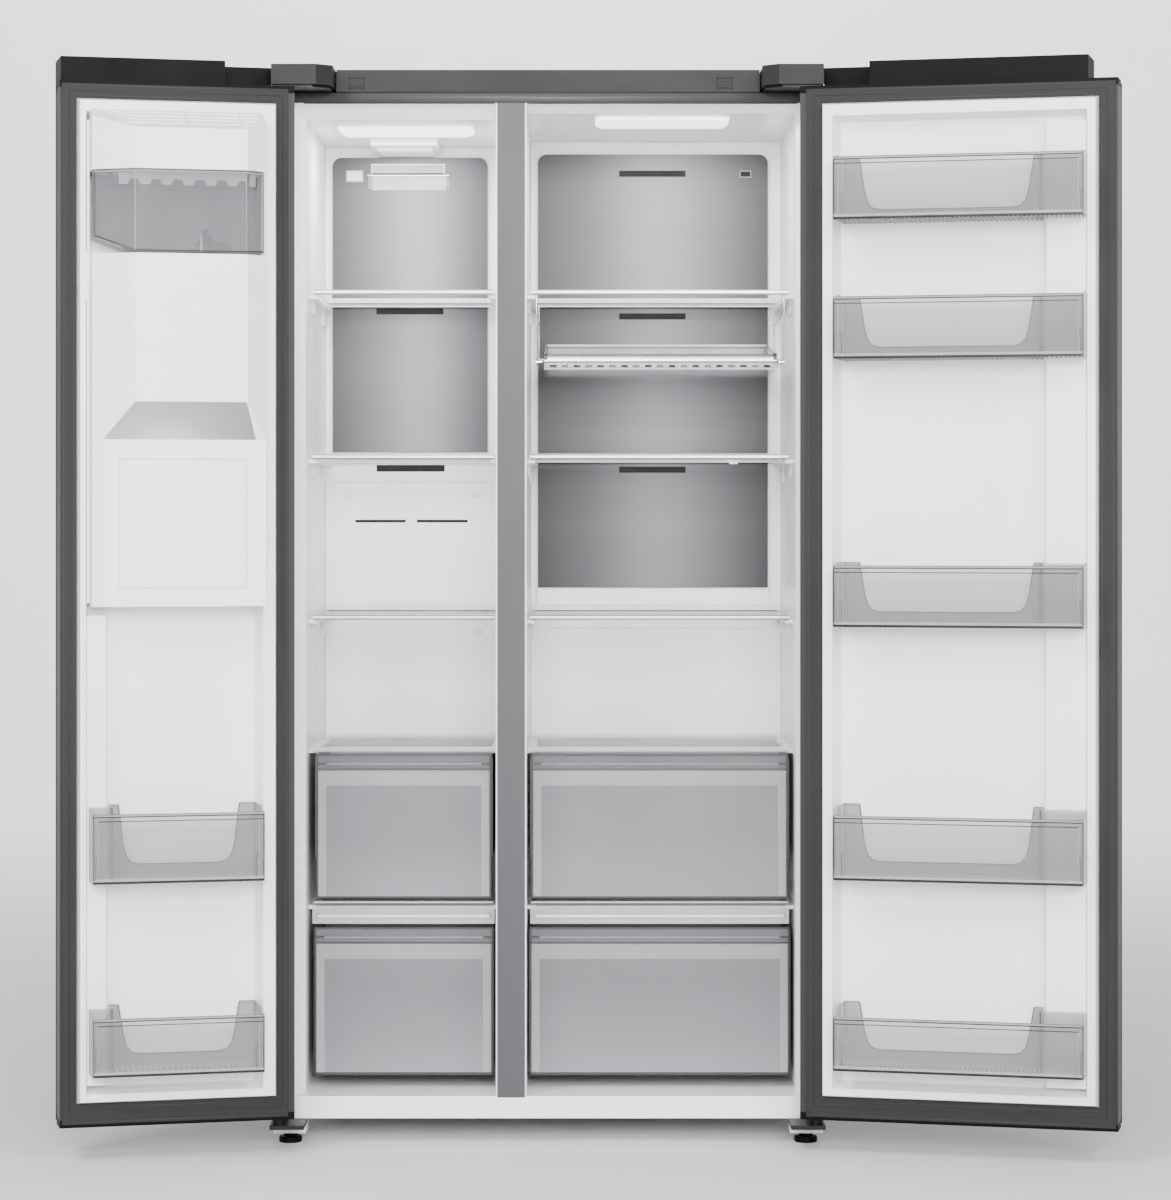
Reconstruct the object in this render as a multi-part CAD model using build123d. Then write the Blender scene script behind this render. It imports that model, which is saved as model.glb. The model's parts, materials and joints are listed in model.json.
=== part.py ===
from build123d import *
import os

# Side by side refrigerator: insulated cabinet with a freezer compartment on the left and a fridge compartment on the
# right, each with its own door, shelves and drawers. Millimetres, +Z up. The cabinet is designed with X = 0 at its centre,
# Y = 0 at its front flange (+Y to the back) and Z = 0 at the floor, then moved to the row origin by ORIGIN_X and ORIGIN_Y.
# The doors are designed shut and turned open about their hinge pins by OPEN degrees.

# ---------------------------------------------------------------- driving dimensions
HALF_W = 456.0            # half the cabinet width
DEPTH = 610.0             # cabinet depth without doors
CAB_Z0, CAB_Z1 = 44.0, 1740.0
SKIN = 1.2                # sheet steel
LINER = 2.0               # thermoformed liner
DOOR_IN, DOOR_OUT = -8.0, -106.0      # inner and outer face of a shut door
DOOR_Z0, DOOR_Z1 = 59.0, 1738.0
DOOR_W = {"L": 380.0, "R": 514.0}
PIN_IN, PIN_Y = 17.0, -57.0           # hinge pin axis: distance in from the cabinet side, and its Y
OPEN = 166.0              # how far the doors stand open as stored
PIN_R, BUSH_R = 4.0, 4.06
TOP_Z = 1777.0            # top of the door caps and of the hinge covers
CAP_Z = 12.0              # thickness of the door end caps
FZ_X0, FZ_X1 = -404.0, -86.0          # freezer inner walls
FR_X0, FR_X1 = -36.0, 412.0           # fridge inner walls
FZ_CEIL, FR_CEIL, FLOOR_Z = 1700.0, 1710.0, 80.0
OPEN_Z1 = 1721.0
BACK_Y = 548.0
STEP_Y, STEP_Z = 392.0, 352.0         # machine room step at the back of both floors
MACHINE_Y = 402.0
SHELF_Y0, SHELF_Y1 = 104.0, 480.0
SHELF_Z = (1420.0, 1143.0, 873.0)     # top faces of the loose shelves
FZ_SHELF_X = (-397.0, -91.0)
FR_SHELF_X = (-31.0, 404.0)
COVER_Z, MID_Z = 651.0, 392.0         # top faces of the drawer covers
PANEL_Y = 490.0           # face of the metal duct panels
WHITE_Y = 498.0           # face of the white duct covers
DRAWER_Y0 = 92.0
UP_Z, LOW_Z = (398.0, 640.0), (101.0, 349.0)
FZ_DRAWER = {"up": (-390.0, -96.0), "low": (-393.0, -93.0)}
FR_DRAWER = {"up": (-29.0, 402.0), "low": (-32.0, 405.0)}
ORIGIN_X, ORIGIN_Y = 64.8, 161.3      # row origin in cabinet coordinates

# door bins: name, side, bottom, front top, back top
BINS = [
    ("bin_left_upper", "L", 456.0, 566.0, 574.0),
    ("bin_left_lower", "L", 150.0, 242.0, 252.0),
    ("bin_right_1", "R", 1514.0, 1614.0, 1618.0),
    ("bin_right_2", "R", 1291.0, 1390.0, 1394.0),
    ("bin_right_3", "R", 862.0, 960.0, 964.0),
    ("bin_right_4", "R", 457.0, 560.0, 572.0),
    ("bin_right_5", "R", 152.0, 238.0, 251.0),
]
BIN_U = {"L": (62.0, 336.0), "R": (69.0, 468.0)}   # from the hinge edge
BIN_V0, BIN_V1 = -27.0, 72.0          # back and front of a bin
NOTCH_U = {"L": 300.0, "R": 394.0}    # beyond this a bin clears the grip bump
NOTCH_V = 16.0
RIM_V, BUMP_V, REC_V = 10.0, 8.0, -28.0   # liner rim, grip bump and recess floor
RIM_OUT = {"L": (31.0, 353.0), "R": (37.0, 484.0)}   # white rim, outer edge at the door face
RIM_IN = {"L": (54.0, 340.0), "R": (56.0, 467.0)}    # its inner edge
RIM_Z = (98.0, 1708.5)
REC_Z = (114.0, 1687.0)
ICE_PLAN = [(63, -27.5), (58, 12), (58, 60), (92, 90), (272, 90), (334, 48), (334, 12), (331, -27.5)]
ICE_Z = (895.0, 1162.0, 1222.0, 1456.0, 1590.0, 1655.0, 1689.0)
DISP_U, DISP_Z, DISP_V = (92.0, 288.0), (905.0, 1245.0), -46.0
LEVER_V, LEVER_Z = -62.0, 1112.0
AUGER_U, AUGER_Z = 150.0, 1484.0
FOOT_X, FOOT_Y = 428.0, 34.0
ROLLER_X, ROLLER_Y, ROLLER_R = 400.0, 560.0, 20.0
C_FAN = (-70.0, 500.0, 150.0)         # condenser fan hub
F_FAN = (-245.0, 520.0, 1560.0)       # freezer fan hub
INLET = (-340.0, 150.0)               # water inlet, X and Z
GLAND = (350.0, 190.0)                # power cord gland, X and Z

os.makedirs("parts", exist_ok=True)


# ---------------------------------------------------------------- helpers
def B(x0, x1, y0, y1, z0, z1):
    x0, x1 = sorted((x0, x1))
    return Solid.make_box(x1 - x0, y1 - y0, z1 - z0, Plane(origin=(x0, y0, z0)))


def prism_z(points, z0, z1):
    f = Face(Wire.make_polygon([(x, y, z0) for x, y in points], close=True))
    return Solid.extrude(f, Vector(0, 0, z1 - z0))


def prism_x(points, x0, x1):
    """points are (y, z)"""
    x0, x1 = sorted((x0, x1))
    f = Face(Wire.make_polygon([(x0, y, z) for y, z in points], close=True))
    return Solid.extrude(f, Vector(x1 - x0, 0, 0))


def prism_y(points, y0, y1):
    """points are (x, z)"""
    f = Face(Wire.make_polygon([(x, y0, z) for x, z in points], close=True))
    return Solid.extrude(f, Vector(0, y1 - y0, 0))


def cyl(axis, p, length, r):
    """a cylinder from point p along axis x, y or z"""
    d = {"x": (1, 0, 0), "y": (0, 1, 0), "z": (0, 0, 1)}[axis]
    return Solid.make_cylinder(r, length, Plane(origin=p, z_dir=d))


def rounded(shape, r, axis):
    """rounds the edges of a box that run along one axis"""
    d = {"x": Axis.X, "y": Axis.Y, "z": Axis.Z}[axis]
    return shape.fillet(r, shape.edges().filter_by(d))


def fuse(*shapes):
    out = shapes[0]
    for s in shapes[1:]:
        out = out + s
    return out


def cut(a, *tools):
    for t in tools:
        a = a - t
    return a


def solids_of(shape):
    out = []
    for s in shape if isinstance(shape, (list, tuple)) else [shape]:
        out += list(s.solids())
    return out


def turn(shape, side):
    """turns a shut door part open about its hinge pin"""
    x = -HALF_W + PIN_IN if side == "L" else HALF_W - PIN_IN
    return shape.rotate(Axis((x, PIN_Y, 0), (0, 0, 1)), -OPEN if side == "L" else OPEN)


def write(name, shape, side=None):
    parts = solids_of(shape)
    c = Compound(children=parts) if len(parts) > 1 else parts[0]
    if side:
        c = turn(c, side)
    c = c.moved(Location((-ORIGIN_X, -ORIGIN_Y, 0)))
    export_step(c, f"parts/{name}.step")


def DX(side, u):
    """X of a distance u from a shut door's hinge edge"""
    return -HALF_W + u if side == "L" else HALF_W - u


def D(side, u0, u1, v0, v1, z0, z1):
    return B(DX(side, u0), DX(side, u1), v0, v1, z0, z1)


def dprism_z(side, points, z0, z1):
    return prism_z([(DX(side, u), v) for u, v in points], z0, z1)


def dprism_x(side, points, u0, u1):
    return prism_x(points, DX(side, u0), DX(side, u1))


def frustum(side, ua, ub, za, zb, v0, du, dz, v1):
    """a block in door coordinates whose sides draw in by du and dz from v0 to v1"""
    plan = dprism_z(side, [(ua, v0), (ub, v0), (ub - du, v1), (ua + du, v1)], za - 60, zb + 60)
    elev = dprism_x(side, [(v0, za), (v0, zb), (v1, zb - dz), (v1, za + dz)], ua - 60, ub + 60)
    return plan & elev


# ---------------------------------------------------------------- cabinet shell
xo = HALF_W
xi = HALF_W - SKIN
top = CAB_Z1 - SKIN
yb = DEPTH - SKIN
side_l = fuse(B(-xo, -xi, 0, DEPTH, CAB_Z0, CAB_Z1), B(-xi, -428, 0, SKIN, CAB_Z0, top))
side_r = fuse(B(xi, xo, 0, DEPTH, CAB_Z0, CAB_Z1), B(428, xi, 0, SKIN, CAB_Z0, top))
roof = fuse(B(-xi, xi, 0, DEPTH, top, CAB_Z1), B(-428, 428, 0, SKIN, OPEN_Z1 + LINER, top))
write("outer_cabinet", [side_l, side_r, roof])

# rear sheet, and the machine room cover below it with its air slots and the openings for the water inlet and the cord
cover = B(-xi, xi, yb, DEPTH, CAB_Z0 + 2, 330)
holes = [B(x, x + 70, yb - 1, DEPTH + 1, z, z + 5) for x in (-260, -170, -80, 10, 100, 190) for z in range(80, 300, 22)]
cover = cut(cover, *holes, B(INLET[0] - 34, INLET[0] + 34, yb - 1, DEPTH + 1, INLET[1] - 34, INLET[1] + 34),
            cyl("y", (GLAND[0], yb - 1, GLAND[1]), 4, 8.0))
write("rear_panels", [B(-xi, xi, yb, DEPTH, 331, top), cover])


# ---------------------------------------------------------------- liners
def liner(x0, x1, fl0, fl1, ceil):
    """one compartment's liner: an open box with a flared mouth, a stepped floor and shelf ribs"""
    def mouth(g, ya):
        a0, a1, b0, b1 = x0 - fl0 - g, x1 + fl1 + g, x0 - g, x1 + g
        plan = prism_z([(a0, ya), (a1, ya), (a1, 20), (b1, 50), (b1, 60), (b0, 60), (b0, 50), (a0, 20)], FLOOR_Z - g, OPEN_Z1 + g)
        elev = prism_x([(ya, FLOOR_Z - g), (60, FLOOR_Z - g), (60, ceil + g), (50, ceil + g), (20, OPEN_Z1 + g), (ya, OPEN_Z1 + g)],
                       a0 - 9, a1 + 9)
        return plan & elev

    t = LINER
    inner = fuse(mouth(0, -1), B(x0, x1, 59, BACK_Y, STEP_Z, ceil), B(x0, x1, 59, STEP_Y - t, FLOOR_Z, STEP_Z + 1))
    outer = fuse(mouth(t, SKIN if fl0 or fl1 else 0), B(x0 - t, x1 + t, 59, BACK_Y + t, STEP_Z - t, ceil + t),
                 B(x0 - t, x1 + t, 59, STEP_Y, FLOOR_Z - t, STEP_Z))
    body = cut(outer, inner)
    ribs = []
    for z in SHELF_Z + (COVER_Z, MID_Z):
        y1 = SHELF_Y1 + 4
        for xa, xb in ((x0, x0 + 13), (x1 - 13, x1)):
            ribs.append(B(xa, xb, SHELF_Y0 + 12, y1, z - (10.6 if z == COVER_Z else 14.5), z - 8.4))
    return fuse(body, *ribs)


write("freezer_liner", liner(FZ_X0, FZ_X1, 22, 0, FZ_CEIL))
write("fridge_liner", liner(FR_X0, FR_X1, 0, 14, FR_CEIL))

# ---------------------------------------------------------------- foam, as blocks between sheet and liners
fzl, fzr = FZ_X0 - LINER, FZ_X1 + LINER
frl, frr = FR_X0 - LINER, FR_X1 + LINER
zf = FLOOR_Z - LINER
zb = CAB_Z0 + 2
bk = BACK_Y + LINER
zt = FR_CEIL + LINER
foam = [
    B(-xi, fzl - 22, SKIN, 20, zb, top),
    prism_z([(-xi, 20), (fzl - 22, 20), (fzl, 50), (fzl, yb), (-xi, yb)], 332, top),
    prism_z([(-xi, 20), (fzl - 22, 20), (fzl, 50), (fzl, MACHINE_Y), (-xi, MACHINE_Y)], zb, 332),
    B(frr + 14, xi, SKIN, 20, zb, top),
    prism_z([(frr + 14, 20), (xi, 20), (xi, yb), (frr, yb), (frr, 50)], 332, top),
    prism_z([(frr + 14, 20), (xi, 20), (xi, MACHINE_Y), (frr, MACHINE_Y), (frr, 50)], zb, 332),
    B(fzr, frl, 4, STEP_Y, zf, zt),                               # wall between the compartments
    B(fzr, frl, STEP_Y, bk, 332, zt),
    B(fzl, frr, 60, yb, zt, top),                                 # roof
    prism_x([(SKIN, OPEN_Z1 + LINER), (20, OPEN_Z1 + LINER), (60, zt), (60, top), (SKIN, top)], fzl, frr),
    B(fzl, fzr, 60, bk, FZ_CEIL + LINER, zt),
    B(fzl, frr, bk, yb, 332, zt),                                 # back
    B(fzl, frr, SKIN, STEP_Y, zb, zf),                            # floor
    B(fzl, frr, STEP_Y, MACHINE_Y, zb, 332),                      # front wall of the machine room
    B(fzl, fzr, STEP_Y, bk, 332, STEP_Z - LINER),
    B(frl, frr, STEP_Y, bk, 332, STEP_Z - LINER),
]
foam[9] = cut(foam[9], B(fzr, frl, 0, 70, zf, zt))
write("foam_insulation", foam)

# steel strip on the wall between the compartments, where both gaskets land
write("centre_mullion", B(fzr, frl, 0, 4, zf, OPEN_Z1 + LINER))

# base sheet with the sill, the housings of the two front feet and the brackets and axles of the two rear rollers
base = [
    B(-xi, xi, SKIN, yb, CAB_Z0, zb),
    B(-428, 428, 0, SKIN, CAB_Z0, zf),
]
for s in (-1, 1):
    h = B(s * (FOOT_X - 27), s * (FOOT_X + 27), 8, 62, 18, CAB_Z0)
    base.append(cut(h, cyl("z", (s * FOOT_X, FOOT_Y, 10), 33, 6.05)))
    x = s * ROLLER_X
    ears = [B(x - 17, x - 13, ROLLER_Y - 16, ROLLER_Y + 16, 10, CAB_Z0), B(x + 13, x + 17, ROLLER_Y - 16, ROLLER_Y + 16, 10, CAB_Z0)]
    base.append(fuse(*ears, cyl("x", (x - 15, ROLLER_Y, ROLLER_R), 30, 4.0)))
write("base_plate", base)
for s, n in ((-1, "left"), (1, "right")):
    x = s * FOOT_X
    pad = cyl("z", (x, FOOT_Y, 0), 10, 19.0)
    pad = pad.fillet(2.0, pad.edges().filter_by(GeomType.CIRCLE))
    write(f"front_foot_{n}", fuse(pad, cyl("z", (x, FOOT_Y, 8), 30, 6.0), cyl("z", (x, FOOT_Y, 10), 4, 11.0)))
    x = s * ROLLER_X
    wheel = cut(cyl("x", (x - 11, ROLLER_Y, ROLLER_R), 22, ROLLER_R), cyl("x", (x - 12, ROLLER_Y, ROLLER_R), 24, 4.06))
    write(f"rear_roller_{n}", wheel)

# ---------------------------------------------------------------- machine room and cold air parts
comp = cyl("z", (250, 500, 62), 150, 82.0)
comp = comp.fillet(28.0, comp.edges().filter_by(GeomType.CIRCLE))
feet = [B(250 - 100, 250 + 100, 500 - 70, 500 - 50, 56, 62.5), B(250 - 100, 250 + 100, 500 + 50, 500 + 70, 56, 62.5),
        B(250 - 60, 250 + 60, 440, 560, 56, 64)]
legs = [cyl("z", (250 + i * 90, 500 + j * 60, zb), 10.5, 9.0) for i in (-1, 1) for j in (-1, 1)]
write("compressor", fuse(comp, *feet, *legs, B(325, 350, 480, 520, 110, 160)))

fins = [B(x, x + 1.5, 425, 575, 62, 250) for x in range(-385, -150, 9)]
coil = [cyl("x", (-392, y, z), 248, 4.0) for y in (450, 500, 550) for z in (90, 155, 220)]
ends = [B(-392, -388, 420, 580, zb, 255), B(-148, -144, 420, 580, zb, 255)]
condenser = fuse(*ends, *coil, *fins)
fins = [B(x, x + 1.5, 506, 544, 860, 1240) for x in range(-380, -104, 12)]
coil = [cyl("x", (-388, y, z), 286, 4.0) for y in (515, 535) for z in range(880, 1240, 60)]
ends = [B(-390, -387, 504, 546, 855, 1245), B(-103, -100, 504, 546, 855, 1245)]
write("heat_exchangers", [condenser, fuse(*ends, *coil, *fins)])


def fan(axis, p, r, hub, thick, tilt, bore):
    """a hub with five pitched blades on its shaft's axis; p is the hub's first face"""
    d = {"x": (1, 0, 0), "y": (0, 1, 0)}[axis]
    pl = Plane(origin=p, z_dir=d)
    h = Solid.make_cylinder(hub, thick, pl)
    blades = []
    for k in range(5):
        b = Solid.make_box(r - hub + 3, 2.0, thick * 1.5, Plane(origin=(hub - 3, -1, -thick * 0.25)))
        w = Solid.make_box(r - hub + 3, 2.0, thick * 0.9, Plane(origin=(hub - 3, -1, thick * 0.05)))
        w = w.rotate(Axis((0, 0, thick / 2), (1, 0, 0)), tilt).rotate(Axis.Z, 72 * k)
        blades.append(pl.location * w)
    return cut(fuse(h, *blades), Solid.make_cylinder(bore, thick + 2, Plane(origin=pl.from_local_coords((0, 0, -1)), z_dir=d)))


cx, cy, cz = C_FAN
write("condenser_fan", fan("x", (cx, cy, cz), 62, 16, 14, 32, 3.05))
gx, gy, gz = F_FAN
write("freezer_fan", fan("y", (gx, gy - 12, gz), 52, 15, 12, 32, 3.05))
motor_c = fuse(cyl("x", (cx + 20, cy, cz), 34, 26.0), cyl("x", (cx + 1, cy, cz), 22, 3.0),
               B(cx + 38, cx + 42, cy - 70, cy + 70, zb, cz + 70))
motor_f = fuse(cyl("y", (gx, gy + 4, gz), 24, 22.0), cyl("y", (gx, gy - 11, gz), 18, 3.0),
               B(gx - 70, gx + 70, gy + 24, bk - LINER, gz - 8, gz + 8))
write("fan_motors", [motor_c, motor_f])

# water inlet valve with its threaded stub, and the cord gland, both on the machine room cover
ix, iz = INLET
valve = fuse(B(ix - 24, ix + 24, 584, 594, iz - 22, iz + 22), cyl("y", (ix, 593, iz), 17, 13.2), cyl("y", (ix, 590, iz), 6, 18.0),
             B(ix - 10, ix + 10, 584, 593, iz + 20, iz + 34))
write("water_inlet_valve", cut(valve, cyl("y", (ix, 596, iz), 20, 9.0)))
kx, kz = GLAND
gland = fuse(cyl("y", (kx, DEPTH, kz), 3, 12.0), cyl("y", (kx, yb - 3, kz), 8, 7.9), cyl("y", (kx, yb - 6, kz), 5.9, 11.0))
write("cord_gland", cut(gland, cyl("y", (kx, yb - 8, kz), 20, 4.5)))

# ---------------------------------------------------------------- inner walls at the back
# white duct covers over the full height with their air slots
fz_white = B(FZ_X0 + 0.6, FZ_X1 - 0.6, WHITE_Y, WHITE_Y + 3, STEP_Z + 0.5, FZ_CEIL - 0.5)
slots = [B(-312, -190, WHITE_Y - 1, WHITE_Y + 4, 1119, 1131), B(-350, -260, WHITE_Y - 1, WHITE_Y + 4, 1028, 1033),
         B(-240, -149, WHITE_Y - 1, WHITE_Y + 4, 1028, 1033)]
fz_white = cut(fz_white, *slots)
fr_white = B(FR_X0 + 0.6, FR_X1 - 0.6, WHITE_Y, WHITE_Y + 3, STEP_Z + 0.5, FR_CEIL - 0.5)
write("duct_covers", [fz_white, fr_white])


def metal_panel(x0, x1, z0, z1, slots):
    """brushed steel tray with folded edges, its upper corners rounded"""
    def body(g):
        b = B(x0 + g, x1 - g, PANEL_Y + g, WHITE_Y + (0 if g == 0 else 1), z0 + g, z1 - g)
        up = [e for e in b.edges().filter_by(Axis.Y) if e.center().Z > (z0 + z1) / 2]
        return b.fillet(16 - g, up)
    return cut(body(0), body(1.2), *[B(a, b, PANEL_Y - 1, PANEL_Y + 3, c, d) for a, b, c, d in slots])


fz_metal = metal_panel(-390, -113, 1154, 1680, [(-312, -192, 1400, 1411), (-318, -192, 1649, 1655)])
fr_metal = metal_panel(-23, 388, 912, 1686, [(122, 241, 1646, 1657), (122, 241, 1391, 1402), (122, 241, 1117, 1128)])
write("metal_duct_panels", [fz_metal, fr_metal])
write("ceiling_lamps", [B(-360, -128, 164, 276, FZ_CEIL - 6, FZ_CEIL), B(78, 306, 104, 232, FR_CEIL - 6, FR_CEIL)])


# ---------------------------------------------------------------- shelves and covers
def shelf(x0, x1, z):
    """glass pane held by a front and a rear rail"""
    pane = B(x0 + 1, x1 - 1, SHELF_Y0 + 4, SHELF_Y1 - 3, z - 6, z - 2)
    front = cut(B(x0, x1, SHELF_Y0, SHELF_Y0 + 12, z - 8, z), B(x0 + 1, x1 - 1, SHELF_Y0 + 4, SHELF_Y0 + 13, z - 6, z - 2))
    rear = cut(B(x0, x1, SHELF_Y1 - 12, SHELF_Y1, z - 8, z + 8), B(x0 + 1, x1 - 1, SHELF_Y1 - 13, SHELF_Y1 - 3, z - 6, z - 2))
    return [pane, front, rear]


for i, z in enumerate(SHELF_Z, 1):
    write(f"freezer_shelf_{i}", shelf(*FZ_SHELF_X, z))
    write(f"fridge_shelf_{i}", shelf(*FR_SHELF_X, z))


def fixed_cover(x0, x1, z, lip):
    plate = B(x0, x1, SHELF_Y0 - 2, SHELF_Y1, z - 8, z - 3)
    return fuse(plate, B(x0, x1, SHELF_Y0 - 2, SHELF_Y0 + 10, z - lip, z), B(x0, x1, SHELF_Y1 - 8, SHELF_Y1, z - 8, z))


write("drawer_covers", [fixed_cover(*FZ_SHELF_X, COVER_Z, 9), fixed_cover(*FR_SHELF_X, COVER_Z, 9),
                        fixed_cover(*FZ_SHELF_X, MID_Z, 38), fixed_cover(*FR_SHELF_X, MID_Z, 38)])

# hangers under the first fridge shelf and the pull-out tray that they carry
z1 = SHELF_Z[0] - 8
hang = []
for xa, xb, xl in ((-22, -19, -11), (395, 398, 387)):
    frame = cut(B(xa, xb, 112, 440, 1298, z1), B(xa - 1, xb + 1, 124, 428, 1312, z1 - 14))
    lo, hi = min(xa, xl), max(xb, xl)
    hang.append(fuse(frame, B(lo, hi, 112, 440, 1298, 1301)))
write("tray_hangers", hang)
tray = cut(prism_x([(108, 1286), (446, 1286), (446, 1344), (436, 1344), (132, 1312), (108, 1312)], -8, 384),
           prism_x([(111.5, 1289), (443, 1289), (443, 1346), (111.5, 1320)], -5, 381))
fl = [B(-18, -8, 114, 440, 1301.4, 1304.4), B(384, 394, 114, 440, 1301.4, 1304.4)]
write("chilled_tray", fuse(tray, *fl))


def drawer(xs, zs, y1):
    """tub with a grip lip along its front"""
    x0, x1 = xs
    z0, z1 = zs
    tub = cut(B(x0, x1, DRAWER_Y0, y1, z0, z1), B(x0 + 3, x1 - 3, DRAWER_Y0 + 6, y1 - 3, z0 + 3, z1 + 1))
    tub = tub + B(x0 + 2, x1 - 2, DRAWER_Y0 + 5, DRAWER_Y0 + 22, z1 - 5, z1)
    return tub


write("freezer_drawer_upper", drawer(FZ_DRAWER["up"], UP_Z, 468))
write("freezer_drawer_lower", drawer(FZ_DRAWER["low"], LOW_Z, 382))
write("fridge_drawer_upper", drawer(FR_DRAWER["up"], UP_Z, 468))
write("fridge_drawer_lower", drawer(FR_DRAWER["low"], LOW_Z, 382))

# ---------------------------------------------------------------- hinges and top trim
hinges, covers = [], []
for s in (-1, 1):
    px = s * (HALF_W - PIN_IN)
    plate = prism_z([(s * 448, -72), (s * 384, -72), (s * 356, -50), (s * 356, 88), (s * 448, 88)], CAB_Z1, CAB_Z1 + 4)
    hinges.append(fuse(plate, cyl("z", (px, PIN_Y, 1706), CAB_Z1 - 1706 + 2, PIN_R)))
    low = B(s * 454, s * 398, -74, 8, 37, 44)
    hinges.append(fuse(low, cyl("z", (px, PIN_Y, 42), 16.6, 11.0), cyl("z", (px, PIN_Y, 50), 36, PIN_R)))

    def shell(g):
        pts = [(451 - g, -80 + g), (378 + 0.6 * g, -80 + g), (352 + g, -57 + 0.6 * g), (352 + g, 96 - g), (451 - g, 96 - g)]
        return prism_z([(s * a, b) for a, b in pts], CAB_Z1 + 4.2 - (0 if g == 0 else 2), TOP_Z - g)
    covers.append(cut(shell(0), shell(2.5)))
write("hinge_brackets", hinges)
write("hinge_covers", covers)
trim = cut(B(-350, 350, 1, 96, CAB_Z1, TOP_Z), B(-347.5, 347.5, 3.5, 93.5, CAB_Z1 - 1, TOP_Z - 2.5))
write("top_front_trim", trim)


# ---------------------------------------------------------------- doors
def door_plan(w, g):
    """outline of a door in (u, v), drawn in by g; the free edge has a finger channel"""
    return [(g, DOOR_IN - g), (w - g, DOOR_IN - g), (w - g, -56 + 0.4 * g), (w - 14 - g, -66 + 0.4 * g), (w - 14 - g, -90 - 0.6 * g),
            (w - 3 - g, -97 - 0.6 * g), (w - 3 - g, DOOR_OUT + 3), (w - 6, DOOR_OUT + g), (3, DOOR_OUT + g), (g, DOOR_OUT + 3)]


def door_liner_shapes(side, g):
    """space filled by the raised rim and flange, its visible faces drawn in by g"""
    w = DOOR_W[side]
    o0, o1 = RIM_OUT[side]
    i0, i1 = RIM_IN[side]
    solid = fuse(D(side, 12, w - 12, -30, DOOR_IN - g, DOOR_Z0 + CAP_Z, DOOR_Z1 - CAP_Z),
                 frustum(side, o0 + g, o1 - g, RIM_Z[0] + g, RIM_Z[1] - g, -12, 4, 4, RIM_V - g))
    rec = frustum(side, i0 + 8 - g, i1 - 8 + g, REC_Z[0] + 8 - g, REC_Z[1] - 8 + g, REC_V - g, -8, -8, RIM_V + 1)
    solid = cut(solid, rec)
    n = NOTCH_U[side]
    bump = dprism_z(side, [(n + 4 + g, -30), (n + 8 + g, BUMP_V - g), (i1 - 2 + 0, BUMP_V - g), (i1 + 4, -30)], REC_Z[0] + 14 + g, REC_Z[1] - 18 - g)
    if side == "L":
        bump = dprism_z(side, [(n + 4 + g, -30), (n + 8 + g, BUMP_V - g), (i1 - 2 + 0, BUMP_V - g), (i1 + 4, -30)], REC_Z[0] + 14 + g, 880 - g)
    return fuse(solid, bump)


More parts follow.
